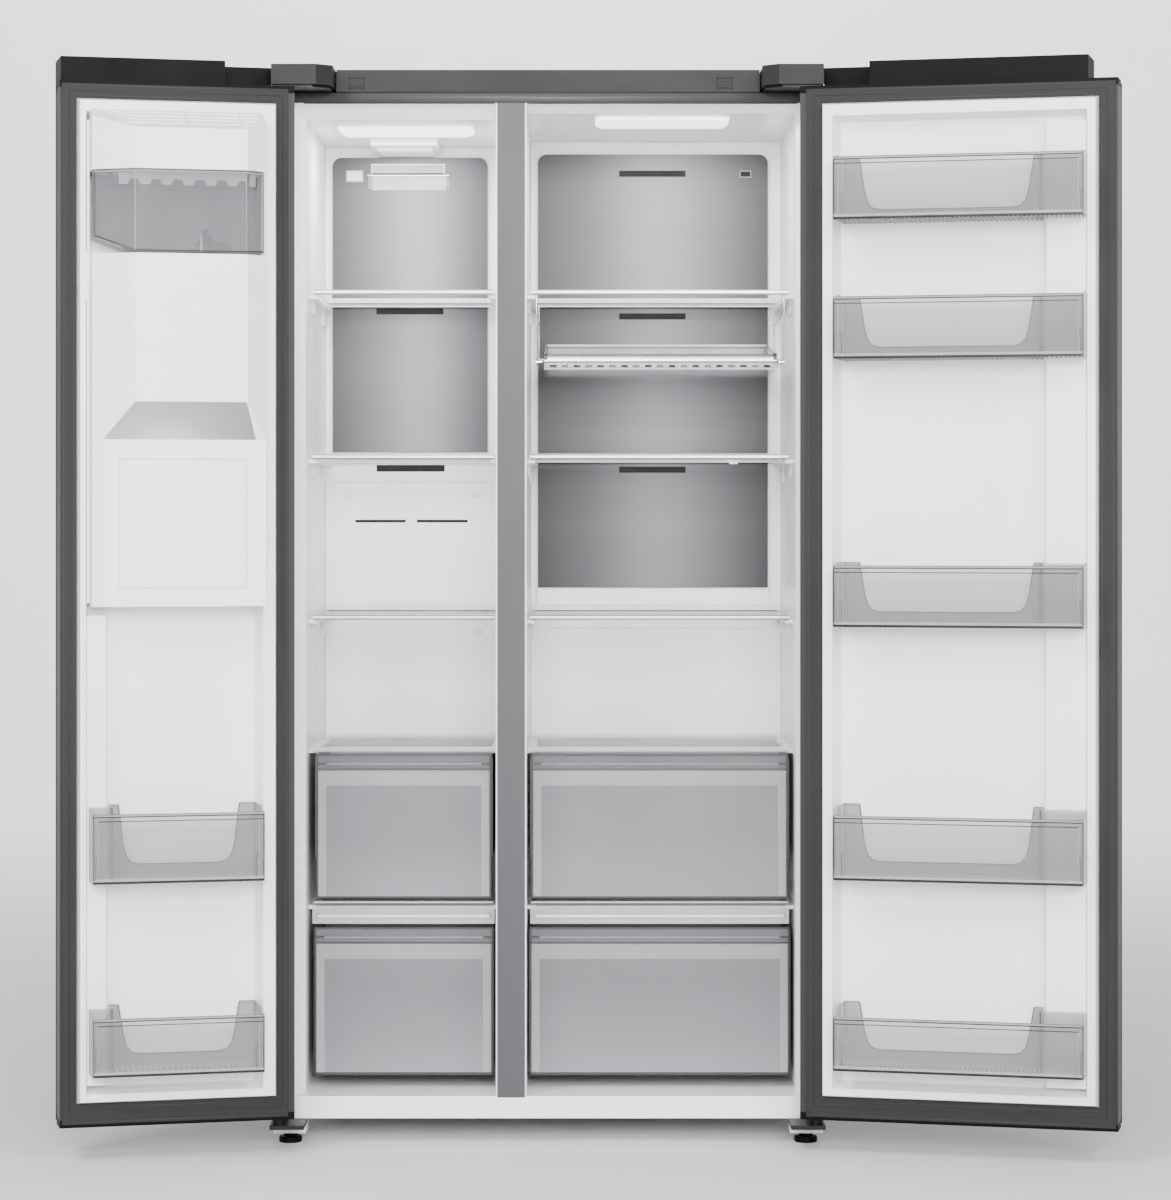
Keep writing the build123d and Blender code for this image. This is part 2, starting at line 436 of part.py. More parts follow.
for side, word in (("L", "left"), ("R", "right")):
    w = DOOR_W[side]
    z0, z1 = DOOR_Z0 + CAP_Z, DOOR_Z1 - CAP_Z
    px = DX(side, PIN_IN)
    o0, o1 = RIM_OUT[side]
    # steel skin wrapped round the front and both edges
    skin = cut(dprism_z(side, door_plan(w, 0), z0, z1), dprism_z(side, door_plan(w, SKIN), z0 - 1, z1 + 1),
               D(side, 12, w - 12, DOOR_IN - 3, DOOR_IN + 1, z0 - 1, z1 + 1))
    if side == "L":
        skin = cut(skin, D(side, *DISP_U, -108, -103, *DISP_Z))
    write(f"{word}_door_skin", skin, side)
    # liner with its raised rim
    lin = cut(door_liner_shapes(side, 0), door_liner_shapes(side, LINER))
    write(f"{word}_door_liner", lin, side)
    # gasket ring, standing off the liner flange
    gk = cut(D(side, 11.5, w - 3, DOOR_IN, -1.3, DOOR_Z0 + 6, DOOR_Z1 - 6),
             D(side, o0 - 0.3, o1 + 0.3, DOOR_IN - 1, 0, RIM_Z[0] - 0.3, RIM_Z[1] + 0.3))
    gk = cut(gk, dprism_z(side, door_plan(w + 0, 0), 0, 1))
    write(f"{word}_door_gasket", gk, side)
    # end caps with the hinge bushings; the upper one carries the raised head with its cut-out for the hinge cover
    head_u1 = w - 3 if side == "L" else 466.0
    bottom = fuse(dprism_z(side, door_plan(w, 0), DOOR_Z0, z0), cyl("z", (px, PIN_Y, z0), 22, 11.0))
    upper = fuse(dprism_z(side, door_plan(w, 0), z1, DOOR_Z1), cyl("z", (px, PIN_Y, z1 - 22), 22, 11.0),
                 D(side, 112, head_u1, -105, -18, DOOR_Z1, TOP_Z), D(side, 24, 113, -105, -94, DOOR_Z1, TOP_Z))
    bottom = cut(bottom, cyl("z", (px, PIN_Y, DOOR_Z0 - 1), 40, BUSH_R))
    upper = cut(upper, cyl("z", (px, PIN_Y, DOOR_Z1 - 40), 42, BUSH_R))
    stop_u = w - 90
    bottom = bottom + D(side, stop_u, stop_u + 24, -70, -40, DOOR_Z0 - 5, DOOR_Z0 + 1)
    write(f"{word}_door_caps", [bottom, upper], side)
    # foam blocks
    o0, o1 = RIM_OUT[side]
    i0, i1 = RIM_IN[side]
    f = [D(side, 3.2, 30, -104.7, -30, z0 + 24, z1 - 24)]
    if side == "R":
        f.append(D(side, 30, w - 15.2, -104.8, -30, z0, z1))
    else:
        a, b = DISP_U
        c, d = DISP_Z
        f += [D(side, 30, w - 15.2, -104.8, -30, z0, c - 0.2), D(side, 30, w - 15.2, -104.8, -30, d + 0.2, z1),
              D(side, 30, a - 0.2, -104.8, -30, c - 0.2, d + 0.2), D(side, b + 0.2, w - 15.2, -104.8, -30, c - 0.2, d + 0.2),
              D(side, a - 0.2, b + 0.2, DISP_V + 0.2, -30, c - 0.2, d + 0.2)]
    f.append(D(side, w - 15.2, w - SKIN, -55, -30, z0, z1))
    # behind the flange and inside the rim
    f += [D(side, 12, o0 + 2, -30, -10, z0, z1), D(side, o1 - 2, w - 12, -30, -10, z0, z1),
          D(side, o0 + 2, o1 - 2, -30, -10, z0, RIM_Z[0] + 2), D(side, o0 + 2, o1 - 2, -30, -10, RIM_Z[1] - 2, z1)]
    ring = cut(door_liner_shapes(side, LINER), D(side, 0, o0 + 2, -40, 20, 0, 1800), D(side, o1 - 2, w, -40, 20, 0, 1800),
               D(side, 0, w, -40, 20, 0, RIM_Z[0] + 2), D(side, 0, w, -40, 20, RIM_Z[1] - 2, 1800))
    # the rim in four bars, and the bump
    n = NOTCH_U[side]
    zc = (REC_Z[0] + 8, REC_Z[1] - 8)
    f += solids_of(ring & D(side, 0, n - 20, -40, 20, *zc))
    f += solids_of(ring & D(side, n - 20, w, -40, 20, *zc))
    f += solids_of(ring & D(side, 0, w, -40, 20, 0, zc[0]))
    f += solids_of(ring & D(side, 0, w, -40, 20, zc[1], 1800))
    if side == "L":
        f.append(D(side, 67, 312, -27, 56.5, 899, 1158))
    write(f"{word}_door_foam", f, side)

# ---------------------------------------------------------------- ice maker, ice bin and dispenser in the freezer door
a0, a1, a2, a3, a4, a5, a6 = ICE_Z


def ice_plan(g):
    p = ICE_PLAN
    return [(p[0][0] + g, -60 if g else p[0][1]), (p[1][0] + g, p[1][1]), (p[2][0] + g, p[2][1] - 0.4 * g), (p[3][0] + 0.4 * g, p[3][1] - g),
            (p[4][0] - 0.3 * g, p[4][1] - g), (p[5][0] - g, p[5][1] - 0.6 * g), (p[6][0] - g, p[6][1]), (p[7][0] - g, -60 if g else p[7][1])]


def chute_cover(g):
    v = -27.5 if g == 0 else -60
    elev = [(v, a0 + g), (60 - g, a0 + g), (60 - g, a1 + 0.5 * g), (90 - g, a2 + 0.5 * g), (90 - g, a3 - g), (v, a3 - g)]
    return dprism_z("L", ice_plan(g), a0 - 5, a3 + 5) & dprism_x("L", elev, 20, 370)


def hood(g):
    v = -27.5 if g == 0 else -60
    zb_ = a4 if g == 0 else a4 - 5
    elev = [(v, zb_), (90 - g, zb_), (90 - g, a5 - 0.5 * g), (22 - 0.5 * g, a6 - g), (v, a6 - 12.5 - g)]
    return dprism_z("L", ice_plan(g), a4 - 9, a6 + 5) & dprism_x("L", elev, 20, 370)


write("dispenser_inner_cover", cut(chute_cover(0), chute_cover(3)), "L")
hd = cut(hood(0), hood(3))
for k in range(4):
    vv, zz = 32 + 13.5 * k, a6 - 8 - 8.0 * k
    for u0, u1 in (((66, 67, 70, 82)[k], 95), (99, 183), (187, 278), (282, (305, 295, 285, 0)[k])):
        if u1 - u0 < 8:
            continue
        hd = cut(hd, D("L", u0, u1, vv - 3.5, vv + 3.5, zz - 16, zz + 16))
maker = D("L", 90, 290, -24, 50, 1606, 1640)
maker = cut(maker, *[D("L", 98 + 24 * k, 116 + 24 * k, -16, 12, 1612, 1650) for k in range(8)],
            *[D("L", 98 + 24 * k, 116 + 24 * k, 18, 44, 1612, 1650) for k in range(8)])
write("ice_maker_unit", [hd, maker], "L")


def bin_plan(g):
    return [(65 + g, -26 + g), (61 + g, 12), (61 + g, 60 - 0.4 * g), (93 + 0.4 * g, 87 - g), (271 - 0.3 * g, 87 - g), (331 - g, 46 - 0.6 * g), (331 - g, 12), (329 - g, -26 + g)]


def tub(g):
    elev = prism_y([(DX("L", u), z) for u, z in [(61 + 0 * g, a3 + 3 + g), (268 - 0.5 * g, a3 + 3 + g), (332, 1484 + g), (332, 1588 + g), (61, 1588 + g)]],
                   -40, 100)
    return dprism_z("L", bin_plan(g), a3, 1588 + g) & elev


write("ice_bin", cut(tub(0), tub(2.5)), "L")
ax = DX("L", AUGER_U)
auger = cyl("y", (ax, -20, AUGER_Z), 84, 5.0)
for k in range(3):
    bl = B(ax - 2, ax + 2, 0, 12, AUGER_Z, AUGER_Z + 16).rotate(Axis((ax, 0, AUGER_Z), (0, 1, 0)), 120 * k)
    auger = auger + bl + bl.moved(Location((0, 30, 0)))
write("ice_auger", auger, "L")

u0, u1 = DISP_U
z0, z1 = DISP_Z
house = cut(D("L", u0 + 0.3, u1 - 0.3, -106, DISP_V, z0 + 0.3, z1 - 0.3), D("L", u0 + 4, u1 - 4, -120, DISP_V - 3, z0 + 12, z1 - 52))
bezel = cut(D("L", u0 - 8, u1 + 8, -108, -106, z0 - 8, z1 + 8), D("L", u0 + 4, u1 - 4, -120, -90, z0 + 12, z1 - 52))
panel = D("L", u0 - 4, u1 + 4, -113, -107, 1135, 1200)
panel = cut(panel, D("L", u0 + 4, u1 - 4, -120, -90, z0 + 12, 1150))
lc = (u0 + u1) / 2
ears = [D("L", lc - 33, lc - 27, -70, -48, LEVER_Z - 8, LEVER_Z + 8), D("L", lc + 27, lc + 33, -70, -48, LEVER_Z - 8, LEVER_Z + 8)]
house = fuse(house, bezel, panel, *ears)
house = cut(house, cyl("x", (DX("L", lc - 34), LEVER_V, LEVER_Z), 68, 3.06))
write("dispenser_housing", house, "L")
lever = fuse(D("L", lc - 22, lc + 22, LEVER_V - 2, LEVER_V + 2, 985, LEVER_Z), cyl("x", (DX("L", lc - 32), LEVER_V, LEVER_Z), 64, 3.0))
write("dispenser_lever", lever, "L")


# ---------------------------------------------------------------- door bins
def door_bin(side, zb_, zf_, zr_):
    """clear tub, notched at the free end over the grip bump, with a cut-out in its rear wall"""
    ua, ub = BIN_U[side]
    n = NOTCH_U[side]

    def body(g, lift):
        pts = [(ua + g, BIN_V0 + g), (n - g, BIN_V0 + g), (n - g, NOTCH_V + g), (ub - g, NOTCH_V + g), (ub - g, BIN_V1 - g), (ua + g, BIN_V1 - g)]
        elev = [(BIN_V0 - 1, zb_ + lift), (BIN_V1 + 1, zb_ + lift), (BIN_V1 + 1, zf_ + 60 * (lift > 0)), (BIN_V1 - 24, zf_ + 60 * (lift > 0)),
                (BIN_V1 - 30, zr_ + 60 * (lift > 0)), (BIN_V0 - 1, zr_ + 60 * (lift > 0))]
        return dprism_z(side, pts, zb_ + lift - 0.01 * 0, zr_ + 60) & dprism_x(side, elev, 0, 520)

    b = cut(body(0, 0), body(2.5, 3.0))
    # the cut-out narrows towards its rounded lower corners
    edge = [(ua + 24, zr_ + 40), (ua + 26, zr_), (ua + 34, zb_ + 52), (ua + 39, zb_ + 34), (ua + 47, zb_ + 25), (ua + 60, zb_ + 22),
            (n - 50, zb_ + 22), (n - 37, zb_ + 25), (n - 29, zb_ + 34), (n - 24, zb_ + 52), (n - 16, zr_), (n - 14, zr_ + 40)]
    slot = prism_y([(DX(side, u), z) for u, z in edge], BIN_V0 - 1, BIN_V0 + 3)
    return cut(b, slot)


for name, side, zb_, zf_, zr_ in BINS:
    write(name, door_bin(side, zb_, zf_, zr_), side)
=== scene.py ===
import bpy, bmesh, json, math
from mathutils import Vector, Matrix

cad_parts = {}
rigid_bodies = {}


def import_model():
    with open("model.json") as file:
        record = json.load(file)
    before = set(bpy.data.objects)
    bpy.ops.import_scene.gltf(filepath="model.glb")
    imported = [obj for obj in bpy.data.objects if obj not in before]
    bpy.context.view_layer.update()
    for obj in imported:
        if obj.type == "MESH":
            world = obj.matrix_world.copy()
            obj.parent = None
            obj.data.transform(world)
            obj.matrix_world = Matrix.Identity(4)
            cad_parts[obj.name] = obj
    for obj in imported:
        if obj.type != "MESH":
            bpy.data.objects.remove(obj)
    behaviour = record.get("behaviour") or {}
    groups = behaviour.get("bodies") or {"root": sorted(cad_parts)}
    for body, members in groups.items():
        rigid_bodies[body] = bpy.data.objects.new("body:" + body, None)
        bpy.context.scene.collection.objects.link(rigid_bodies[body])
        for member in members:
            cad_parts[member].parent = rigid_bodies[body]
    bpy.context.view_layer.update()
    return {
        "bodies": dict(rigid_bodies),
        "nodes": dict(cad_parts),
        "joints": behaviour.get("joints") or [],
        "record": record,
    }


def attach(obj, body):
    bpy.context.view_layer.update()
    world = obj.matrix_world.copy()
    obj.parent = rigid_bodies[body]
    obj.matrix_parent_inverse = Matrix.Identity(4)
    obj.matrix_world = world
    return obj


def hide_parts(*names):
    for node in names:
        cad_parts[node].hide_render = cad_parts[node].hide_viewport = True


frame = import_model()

NODES = frame["nodes"]
OX, OY = 64.8, 161.3          # the cabinet's centre and front flange in the row frame
HALF_W, PIN_IN, PIN_Y, OPEN = 456.0, 17.0, -57.0, 166.0


def S(*rgb):
    """sRGB 0-255 to linear"""
    out = []
    for c in rgb:
        c = c / 255.0
        out.append(c / 12.92 if c <= 0.04045 else ((c + 0.055) / 1.055) ** 2.4)
    return (*out, 1.0)


# ------------------------------------------------------------------ materials
def new_mat(name):
    m = bpy.data.materials.new(name)
    m.use_nodes = True
    nt = m.node_tree
    bsdf = nt.nodes.get("Principled BSDF")
    return m, nt, bsdf


def add(nt, kind, **kw):
    n = nt.nodes.new(kind)
    for k, v in kw.items():
        if k in n.inputs:
            n.inputs[k].default_value = v
        else:
            setattr(n, k, v)
    return n


def mat(name, color, rough=0.4, metal=0.0, var=0.04, scale=(6, 6, 6), grain=0.0, grain_scale=900.0, alpha=1.0, coat=0.0,
        rough_var=0.06, spec=0.5, wear=0.0, grad=None, emit=0.0, stretch=None, bump_mm=0.05):
    """moulded plastic or painted metal: broad tone variation and fine surface texture; the wear argument is not used"""
    m, nt, b = new_mat(name)
    tc = add(nt, "ShaderNodeTexCoord")
    mp = add(nt, "ShaderNodeMapping")
    mp.inputs["Scale"].default_value = scale
    nt.links.new(tc.outputs["Object"], mp.inputs["Vector"])
    nz = add(nt, "ShaderNodeTexNoise", Scale=1.0, Detail=3.0, Roughness=0.55)
    nt.links.new(mp.outputs["Vector"], nz.inputs["Vector"])
    ramp = add(nt, "ShaderNodeValToRGB")
    c0 = tuple(max(0.0, c * (1 - var)) for c in color[:3]) + (1,)
    c1 = tuple(min(1.0, c * (1 + var)) for c in color[:3]) + (1,)
    ramp.color_ramp.elements[0].position, ramp.color_ramp.elements[1].position = 0.3, 0.7
    ramp.color_ramp.elements[0].color, ramp.color_ramp.elements[1].color = c0, c1
    nt.links.new(nz.outputs["Fac"], ramp.inputs["Fac"])
    out = ramp.outputs["Color"]
    if grad:
        # grad: list of (z in metres, factor) that shades the piece along its height
        sep = add(nt, "ShaderNodeSeparateXYZ")
        nt.links.new(tc.outputs["Object"], sep.inputs["Vector"])
        axis, stops = grad
        lo, hi = stops[0][0], stops[-1][0]
        mr = add(nt, "ShaderNodeMapRange")
        mr.inputs["From Min"].default_value, mr.inputs["From Max"].default_value = lo, hi
        nt.links.new(sep.outputs[axis], mr.inputs["Value"])
        gr = add(nt, "ShaderNodeValToRGB")
        while len(gr.color_ramp.elements) < len(stops):
            gr.color_ramp.elements.new(0.5)
        for e, (z, f) in zip(gr.color_ramp.elements, stops):
            e.position = (z - lo) / (hi - lo)
            e.color = (f, f, f, 1)
        nt.links.new(mr.outputs["Result"], gr.inputs["Fac"])
        mx = add(nt, "ShaderNodeMix", data_type="RGBA", blend_type="MULTIPLY")
        mx.inputs[0].default_value = 1.0
        nt.links.new(out, mx.inputs[6])
        nt.links.new(gr.outputs["Color"], mx.inputs[7])
        out = mx.outputs[2]
    nt.links.new(out, b.inputs["Base Color"])
    b.inputs["Metallic"].default_value = metal
    b.inputs["Specular IOR Level"].default_value = spec
    b.inputs["Coat Weight"].default_value = coat
    b.inputs["Alpha"].default_value = alpha
    rr = add(nt, "ShaderNodeMapRange")
    rr.inputs["From Min"].default_value, rr.inputs["From Max"].default_value = 0.3, 0.7
    rr.inputs["To Min"].default_value, rr.inputs["To Max"].default_value = max(0.02, rough - rough_var), min(1, rough + rough_var)
    nt.links.new(nz.outputs["Fac"], rr.inputs["Value"])
    nt.links.new(rr.outputs["Result"], b.inputs["Roughness"])
    if grain > 0:
        mp2 = add(nt, "ShaderNodeMapping")
        mp2.inputs["Scale"].default_value = stretch or (1, 1, 1)
        nt.links.new(tc.outputs["Object"], mp2.inputs["Vector"])
        n2 = add(nt, "ShaderNodeTexNoise", Scale=grain_scale, Detail=2.0)
        nt.links.new(mp2.outputs["Vector"], n2.inputs["Vector"])
        bp = add(nt, "ShaderNodeBump", Strength=grain, Distance=bump_mm / 1000)
        nt.links.new(n2.outputs["Fac"], bp.inputs["Height"])
        nt.links.new(bp.outputs["Normal"], b.inputs["Normal"])
    if emit:
        b.inputs["Emission Color"].default_value = color
        b.inputs["Emission Strength"].default_value = emit
    return m


def brushed(name, color, xs, axis="X", rough=0.36, streak=0.08, metal=0.1):
    """horizontally brushed sheet: fine streaks, and a broad painted sheen across its width, multiplied into the base
    colour
    """
    m, nt, b = new_mat(name)
    tc = add(nt, "ShaderNodeTexCoord")
    mp = add(nt, "ShaderNodeMapping")
    mp.inputs["Scale"].default_value = (5, 5, 1500)
    nt.links.new(tc.outputs["Object"], mp.inputs["Vector"])
    nz = add(nt, "ShaderNodeTexNoise", Scale=1.0, Detail=5.0, Roughness=0.6)
    nt.links.new(mp.outputs["Vector"], nz.inputs["Vector"])
    mpb = add(nt, "ShaderNodeMapping")
    mpb.inputs["Scale"].default_value = (1.5, 1.5, 90)
    nt.links.new(tc.outputs["Object"], mpb.inputs["Vector"])
    nzb = add(nt, "ShaderNodeTexNoise", Scale=1.0, Detail=3.0)
    nt.links.new(mpb.outputs["Vector"], nzb.inputs["Vector"])
    r1 = add(nt, "ShaderNodeValToRGB")
    r1.color_ramp.elements[0].position, r1.color_ramp.elements[1].position = 0.25, 0.75
    r1.color_ramp.elements[0].color = (1 - streak,) * 3 + (1,)
    r1.color_ramp.elements[1].color = (1 + streak * 0.0,) * 3 + (1,)
    nt.links.new(nz.outputs["Fac"], r1.inputs["Fac"])
    r2 = add(nt, "ShaderNodeValToRGB")
    r2.color_ramp.elements[0].position, r2.color_ramp.elements[1].position = 0.3, 0.7
    r2.color_ramp.elements[0].color = (0.95,) * 3 + (1,)
    r2.color_ramp.elements[1].color = (1,) * 3 + (1,)
    nt.links.new(nzb.outputs["Fac"], r2.inputs["Fac"])
    sep = add(nt, "ShaderNodeSeparateXYZ")
    nt.links.new(tc.outputs["Object"], sep.inputs["Vector"])
    # painted sheen: the tone across the sheet follows the given stops, lighter and darker bands in place of broad
    # reflections
    mr = add(nt, "ShaderNodeMapRange")
    mr.inputs["From Min"].default_value, mr.inputs["From Max"].default_value = xs[0][0], xs[-1][0]
    nt.links.new(sep.outputs[axis], mr.inputs["Value"])
    gr = add(nt, "ShaderNodeValToRGB")
    gr.color_ramp.interpolation = "B_SPLINE"
    while len(gr.color_ramp.elements) < len(xs):
        gr.color_ramp.elements.new(0.5)
    for e, (x, f) in zip(gr.color_ramp.elements, xs):
        e.position = (x - xs[0][0]) / (xs[-1][0] - xs[0][0])
        e.color = tuple(min(1, c * f) for c in color[:3]) + (1,)
    nt.links.new(mr.outputs["Result"], gr.inputs["Fac"])
    m1 = add(nt, "ShaderNodeMix", data_type="RGBA", blend_type="MULTIPLY")
    m1.inputs[0].default_value = 1.0
    nt.links.new(gr.outputs["Color"], m1.inputs[6]); nt.links.new(r1.outputs["Color"], m1.inputs[7])
    m2 = add(nt, "ShaderNodeMix", data_type="RGBA", blend_type="MULTIPLY")
    m2.inputs[0].default_value = 1.0
    nt.links.new(m1.outputs[2], m2.inputs[6]); nt.links.new(r2.outputs["Color"], m2.inputs[7])
    nt.links.new(m2.outputs[2], b.inputs["Base Color"])
    b.inputs["Metallic"].default_value = metal
    rr = add(nt, "ShaderNodeMapRange")
    rr.inputs["To Min"].default_value, rr.inputs["To Max"].default_value = rough - 0.05, rough + 0.08
    nt.links.new(nz.outputs["Fac"], rr.inputs["Value"])
    nt.links.new(rr.outputs["Result"], b.inputs["Roughness"])
    b.inputs["Anisotropic"].default_value = 0.6
    b.inputs["Specular IOR Level"].default_value = 0.15
    bp = add(nt, "ShaderNodeBump", Strength=0.25, Distance=0.00004)
    nt.links.new(nz.outputs["Fac"], bp.inputs["Height"])
    nt.links.new(bp.outputs["Normal"], b.inputs["Normal"])
    return m


# the colours of the parts
M = {}
M["case_steel"] = mat("case_steel", S(36, 36, 38), rough=0.45, metal=0.0, spec=0.25, var=0.06, scale=(2, 2, 2), grain=0.25, grain_scale=600, stretch=(1, 1, 0.08), wear=0.1)
M["plain_steel"] = mat("plain_steel", S(120, 122, 124), rough=0.42, metal=0.8, var=0.08, scale=(9, 9, 9), grain=0.3, grain_scale=300)
M["foam"] = mat("foam", S(205, 196, 150), rough=0.85, var=0.12, scale=(30, 30, 30), grain=0.8, grain_scale=700, spec=0.2)
M["liner_white"] = mat("liner_white", S(238, 239, 240), rough=0.32, var=0.02, scale=(4, 4, 4), grain=0.10, grain_scale=1500, coat=0.1)
M["mullion_gray"] = mat("mullion_gray", S(64, 65, 68), rough=0.45, spec=0.3, metal=0.0, var=0.03, scale=(5, 5, 2), grain=0.15, grain_scale=900, stretch=(1, 1, 0.1))
M["band_light"] = mat("band_light", S(68, 68, 69), rough=0.45, spec=0.25, metal=0.0, var=0.04, scale=(2, 5, 5), grain=0.15, grain_scale=900, stretch=(0.1, 1, 1))
M["band_dark"] = mat("band_dark", S(40, 40, 41), rough=0.5, spec=0.12, metal=0.0, var=0.04, scale=(4, 9, 9), grain=0.2, grain_scale=1400)
M["dark_plastic"] = mat("dark_plastic", S(10, 10, 12), rough=0.5, spec=0.06, var=0.10, scale=(12, 12, 12), grain=0.25, grain_scale=1600)
M["gray_plastic"] = mat("gray_plastic", S(38, 38, 40), rough=0.5, spec=0.12, var=0.05, scale=(8, 8, 8), grain=0.25, grain_scale=1600)
# painted sheen: the brushed duct panel is lighter and darker in bands across X, standing for broad reflections
M["duct_r"] = brushed("duct_r", S(131, 131, 135), [(-0.455, 0.27), (-0.42, 0.30), (-0.35, 0.75), (-0.30, 1.12), (-0.24, 0.62), (-0.18, 0.32), (-0.09, 0.22), (0.0, 0.32), (0.08, 0.80), (0.14, 0.98), (0.22, 0.50), (0.30, 0.24), (0.33, 0.22)])
M["lamp_cover"] = mat("lamp_cover", S(250, 251, 252), rough=0.25, var=0.01, scale=(10, 10, 10), grain=0.1, grain_scale=1200, emit=2.4)
M["gasket"] = mat("gasket", S(36, 36, 38), rough=0.6, var=0.06, scale=(5, 5, 5), grain=0.35, grain_scale=1300, spec=0.15)
M["hinge_steel"] = mat("hinge_steel", S(170, 171, 173), rough=0.33, metal=0.85, var=0.08, scale=(40, 40, 40), grain=0.3, grain_scale=500)
M["compressor_black"] = mat("compressor_black", S(28, 28, 30), rough=0.36, metal=0.1, var=0.12, scale=(14, 14, 14), grain=0.4, grain_scale=800)
M["coil_aluminium"] = mat("coil_aluminium", S(190, 192, 195), rough=0.38, metal=0.9, var=0.08, scale=(20, 20, 20), grain=0.3, grain_scale=600)
M["black_rubber"] = mat("black_rubber", S(30, 30, 31), rough=0.65, var=0.15, scale=(30, 30, 30), grain=0.5, grain_scale=1200, spec=0.3)
M["hanger_wire"] = mat("hanger_wire", S(205, 206, 208), rough=0.2, metal=0.9, var=0.05, scale=(60, 60, 60), grain=0.15, grain_scale=700)
M["rail_satin"] = mat("rail_satin", S(205, 206, 208), rough=0.3, metal=0.25, var=0.05, scale=(3, 30, 60), grain=0.2, grain_scale=900, stretch=(0.06, 1, 1))
M["slot_dark"] = mat("slot_dark", S(30, 31, 33), rough=0.6, spec=0.2, var=0.08, scale=(30, 30, 30), grain=0.2, grain_scale=900)
M["white_part"] = mat("white_part", S(238, 239, 240), rough=0.38, var=0.02, scale=(7, 7, 7), grain=0.12, grain_scale=1400)
M["white_grey"] = mat("white_grey", S(214, 216, 218), rough=0.4, var=0.03, scale=(7, 7, 7), grain=0.12, grain_scale=1400)
M["shelf_glass"] = mat("shelf_glass", S(226, 232, 232), rough=0.08, var=0.02, scale=(6, 6, 6), alpha=0.16, rough_var=0.02)
M["glass_edge"] = mat("glass_edge", S(216, 222, 222), rough=0.15, var=0.03, scale=(6, 6, 6), alpha=0.75, rough_var=0.03)
M["clear_plastic"] = mat("clear_plastic", S(126, 128, 131), rough=0.14, var=0.03, scale=(10, 10, 10), alpha=0.32, rough_var=0.04)
M["clear_edge"] = mat("clear_edge", S(150, 153, 156), rough=0.2, var=0.04, scale=(20, 20, 20), alpha=0.8, rough_var=0.04)
M["clear_dark"] = mat("clear_dark", S(24, 25, 27), rough=0.3, var=0.06, scale=(20, 20, 20), alpha=0.95, spec=0.3, rough_var=0.04)
M["smoked_plastic"] = mat("smoked_plastic", S(122, 124, 128), rough=0.12, var=0.05, scale=(10, 10, 10), alpha=0.36, rough_var=0.03)
M["drawer_plastic"] = mat("drawer_plastic", S(186, 189, 191), rough=0.22, var=0.04, scale=(5, 5, 5), alpha=0.66, rough_var=0.05)
M["drawer_edge"] = mat("drawer_edge", S(26, 26, 28), rough=0.35, var=0.06, scale=(20, 20, 20), grain=0.1, grain_scale=900)

# painted highlight: a lighter copy of the gasket rubber for the raised bellows lines
M["gasket_painted_highlight"] = mat("gasket_painted_highlight", S(50, 50, 52), rough=0.55, var=0.05, scale=(5, 5, 5), grain=0.3, grain_scale=1300, spec=0.2)
M["band_line"] = mat("band_line", S(22, 22, 24), rough=0.55, var=0.05, scale=(5, 5, 5), grain=0.2, grain_scale=1300, spec=0.3)
M["duct_light"] = mat("duct_light", S(204, 204, 208), rough=0.36, metal=0.4, var=0.04, scale=(8, 8, 90), grain=0.15, grain_scale=900)
M["duct_shade"] = mat("duct_shade", S(150, 150, 155), rough=0.4, metal=0.3, var=0.05, scale=(8, 8, 90), grain=0.15, grain_scale=900)
M["drawer_side"] = mat("drawer_side", S(130, 133, 136), rough=0.2, var=0.03, scale=(5, 5, 5), alpha=0.4, rough_var=0.05)
# painted shading: each drawer front is lighter near its bottom and darker above
M["drawer_front"] = mat("drawer_front", S(122, 124, 128), rough=0.22, var=0.05, scale=(2.2, 3, 5), alpha=0.72, rough_var=0.05, grad=("Z", [(0.101, 1.45), (0.16, 1.15), (0.25, 0.92), (0.345, 0.95), (0.40, 1.32), (0.50, 1.05), (0.64, 0.92)]))
M["drawer_band"] = mat("drawer_band", S(96, 98, 102), rough=0.2, var=0.05, scale=(3, 5, 9), alpha=0.75, rough_var=0.05)
# painted highlight: a light line along the grip band of each drawer
M["drawer_band_painted_highlight"] = mat("drawer_band_painted_highlight", S(150, 152, 155), rough=0.25, var=0.03, scale=(5, 5, 5), alpha=0.8, rough_var=0.05)
M["black_bracket"] = mat("black_bracket", S(18, 18, 19), rough=0.45, spec=0.2, metal=0.0, var=0.1, scale=(30, 30, 30), grain=0.3, grain_scale=700)
M["sill_white"] = mat("sill_white", S(236, 237, 238), rough=0.38, var=0.02, scale=(2, 9, 9), grain=0.12, grain_scale=1400)

M["vent_shade"] = mat("vent_shade", S(120, 122, 124), rough=0.6, var=0.05, scale=(9, 9, 9), grain=0.1, grain_scale=900, spec=0.2)
# painted sheen: a faint light overlay on the drawer fronts
M["drawer_sheen"] = mat("drawer_sheen", S(214, 216, 219), rough=0.3, var=0.03, scale=(5, 5, 5), alpha=0.22, rough_var=0.05)
M["rail_clear"] = mat("rail_clear", S(206, 209, 211), rough=0.2, var=0.04, scale=(4, 9, 9), alpha=0.5, rough_var=0.05)
# painted shade: darker towards the top of the slope under the ice hood
M["slope_painted_shade"] = mat("slope_painted_shade", S(226, 227, 228), rough=0.45, var=0.02, scale=(7, 7, 7), grain=0.12, grain_scale=1400, grad=("Z", [(1.160, 0.54), (1.180, 0.46), (1.205, 0.41), (1.224, 0.38)]))


def glassy(m, ior=1.45):
    m.node_tree.nodes["Principled BSDF"].inputs["IOR"].default_value = ior
    return m


for k in ("shelf_glass", "glass_edge", "clear_plastic", "clear_edge", "smoked_plastic", "drawer_plastic", "drawer_side", "drawer_front", "drawer_band"):
    glassy(M[k])


# ------------------------------------------------------------------ places
def W(x, y, z):
    """cabinet millimetres to row metres"""
    return Vector(((x - OX) / 1000, (y - OY) / 1000, z / 1000))


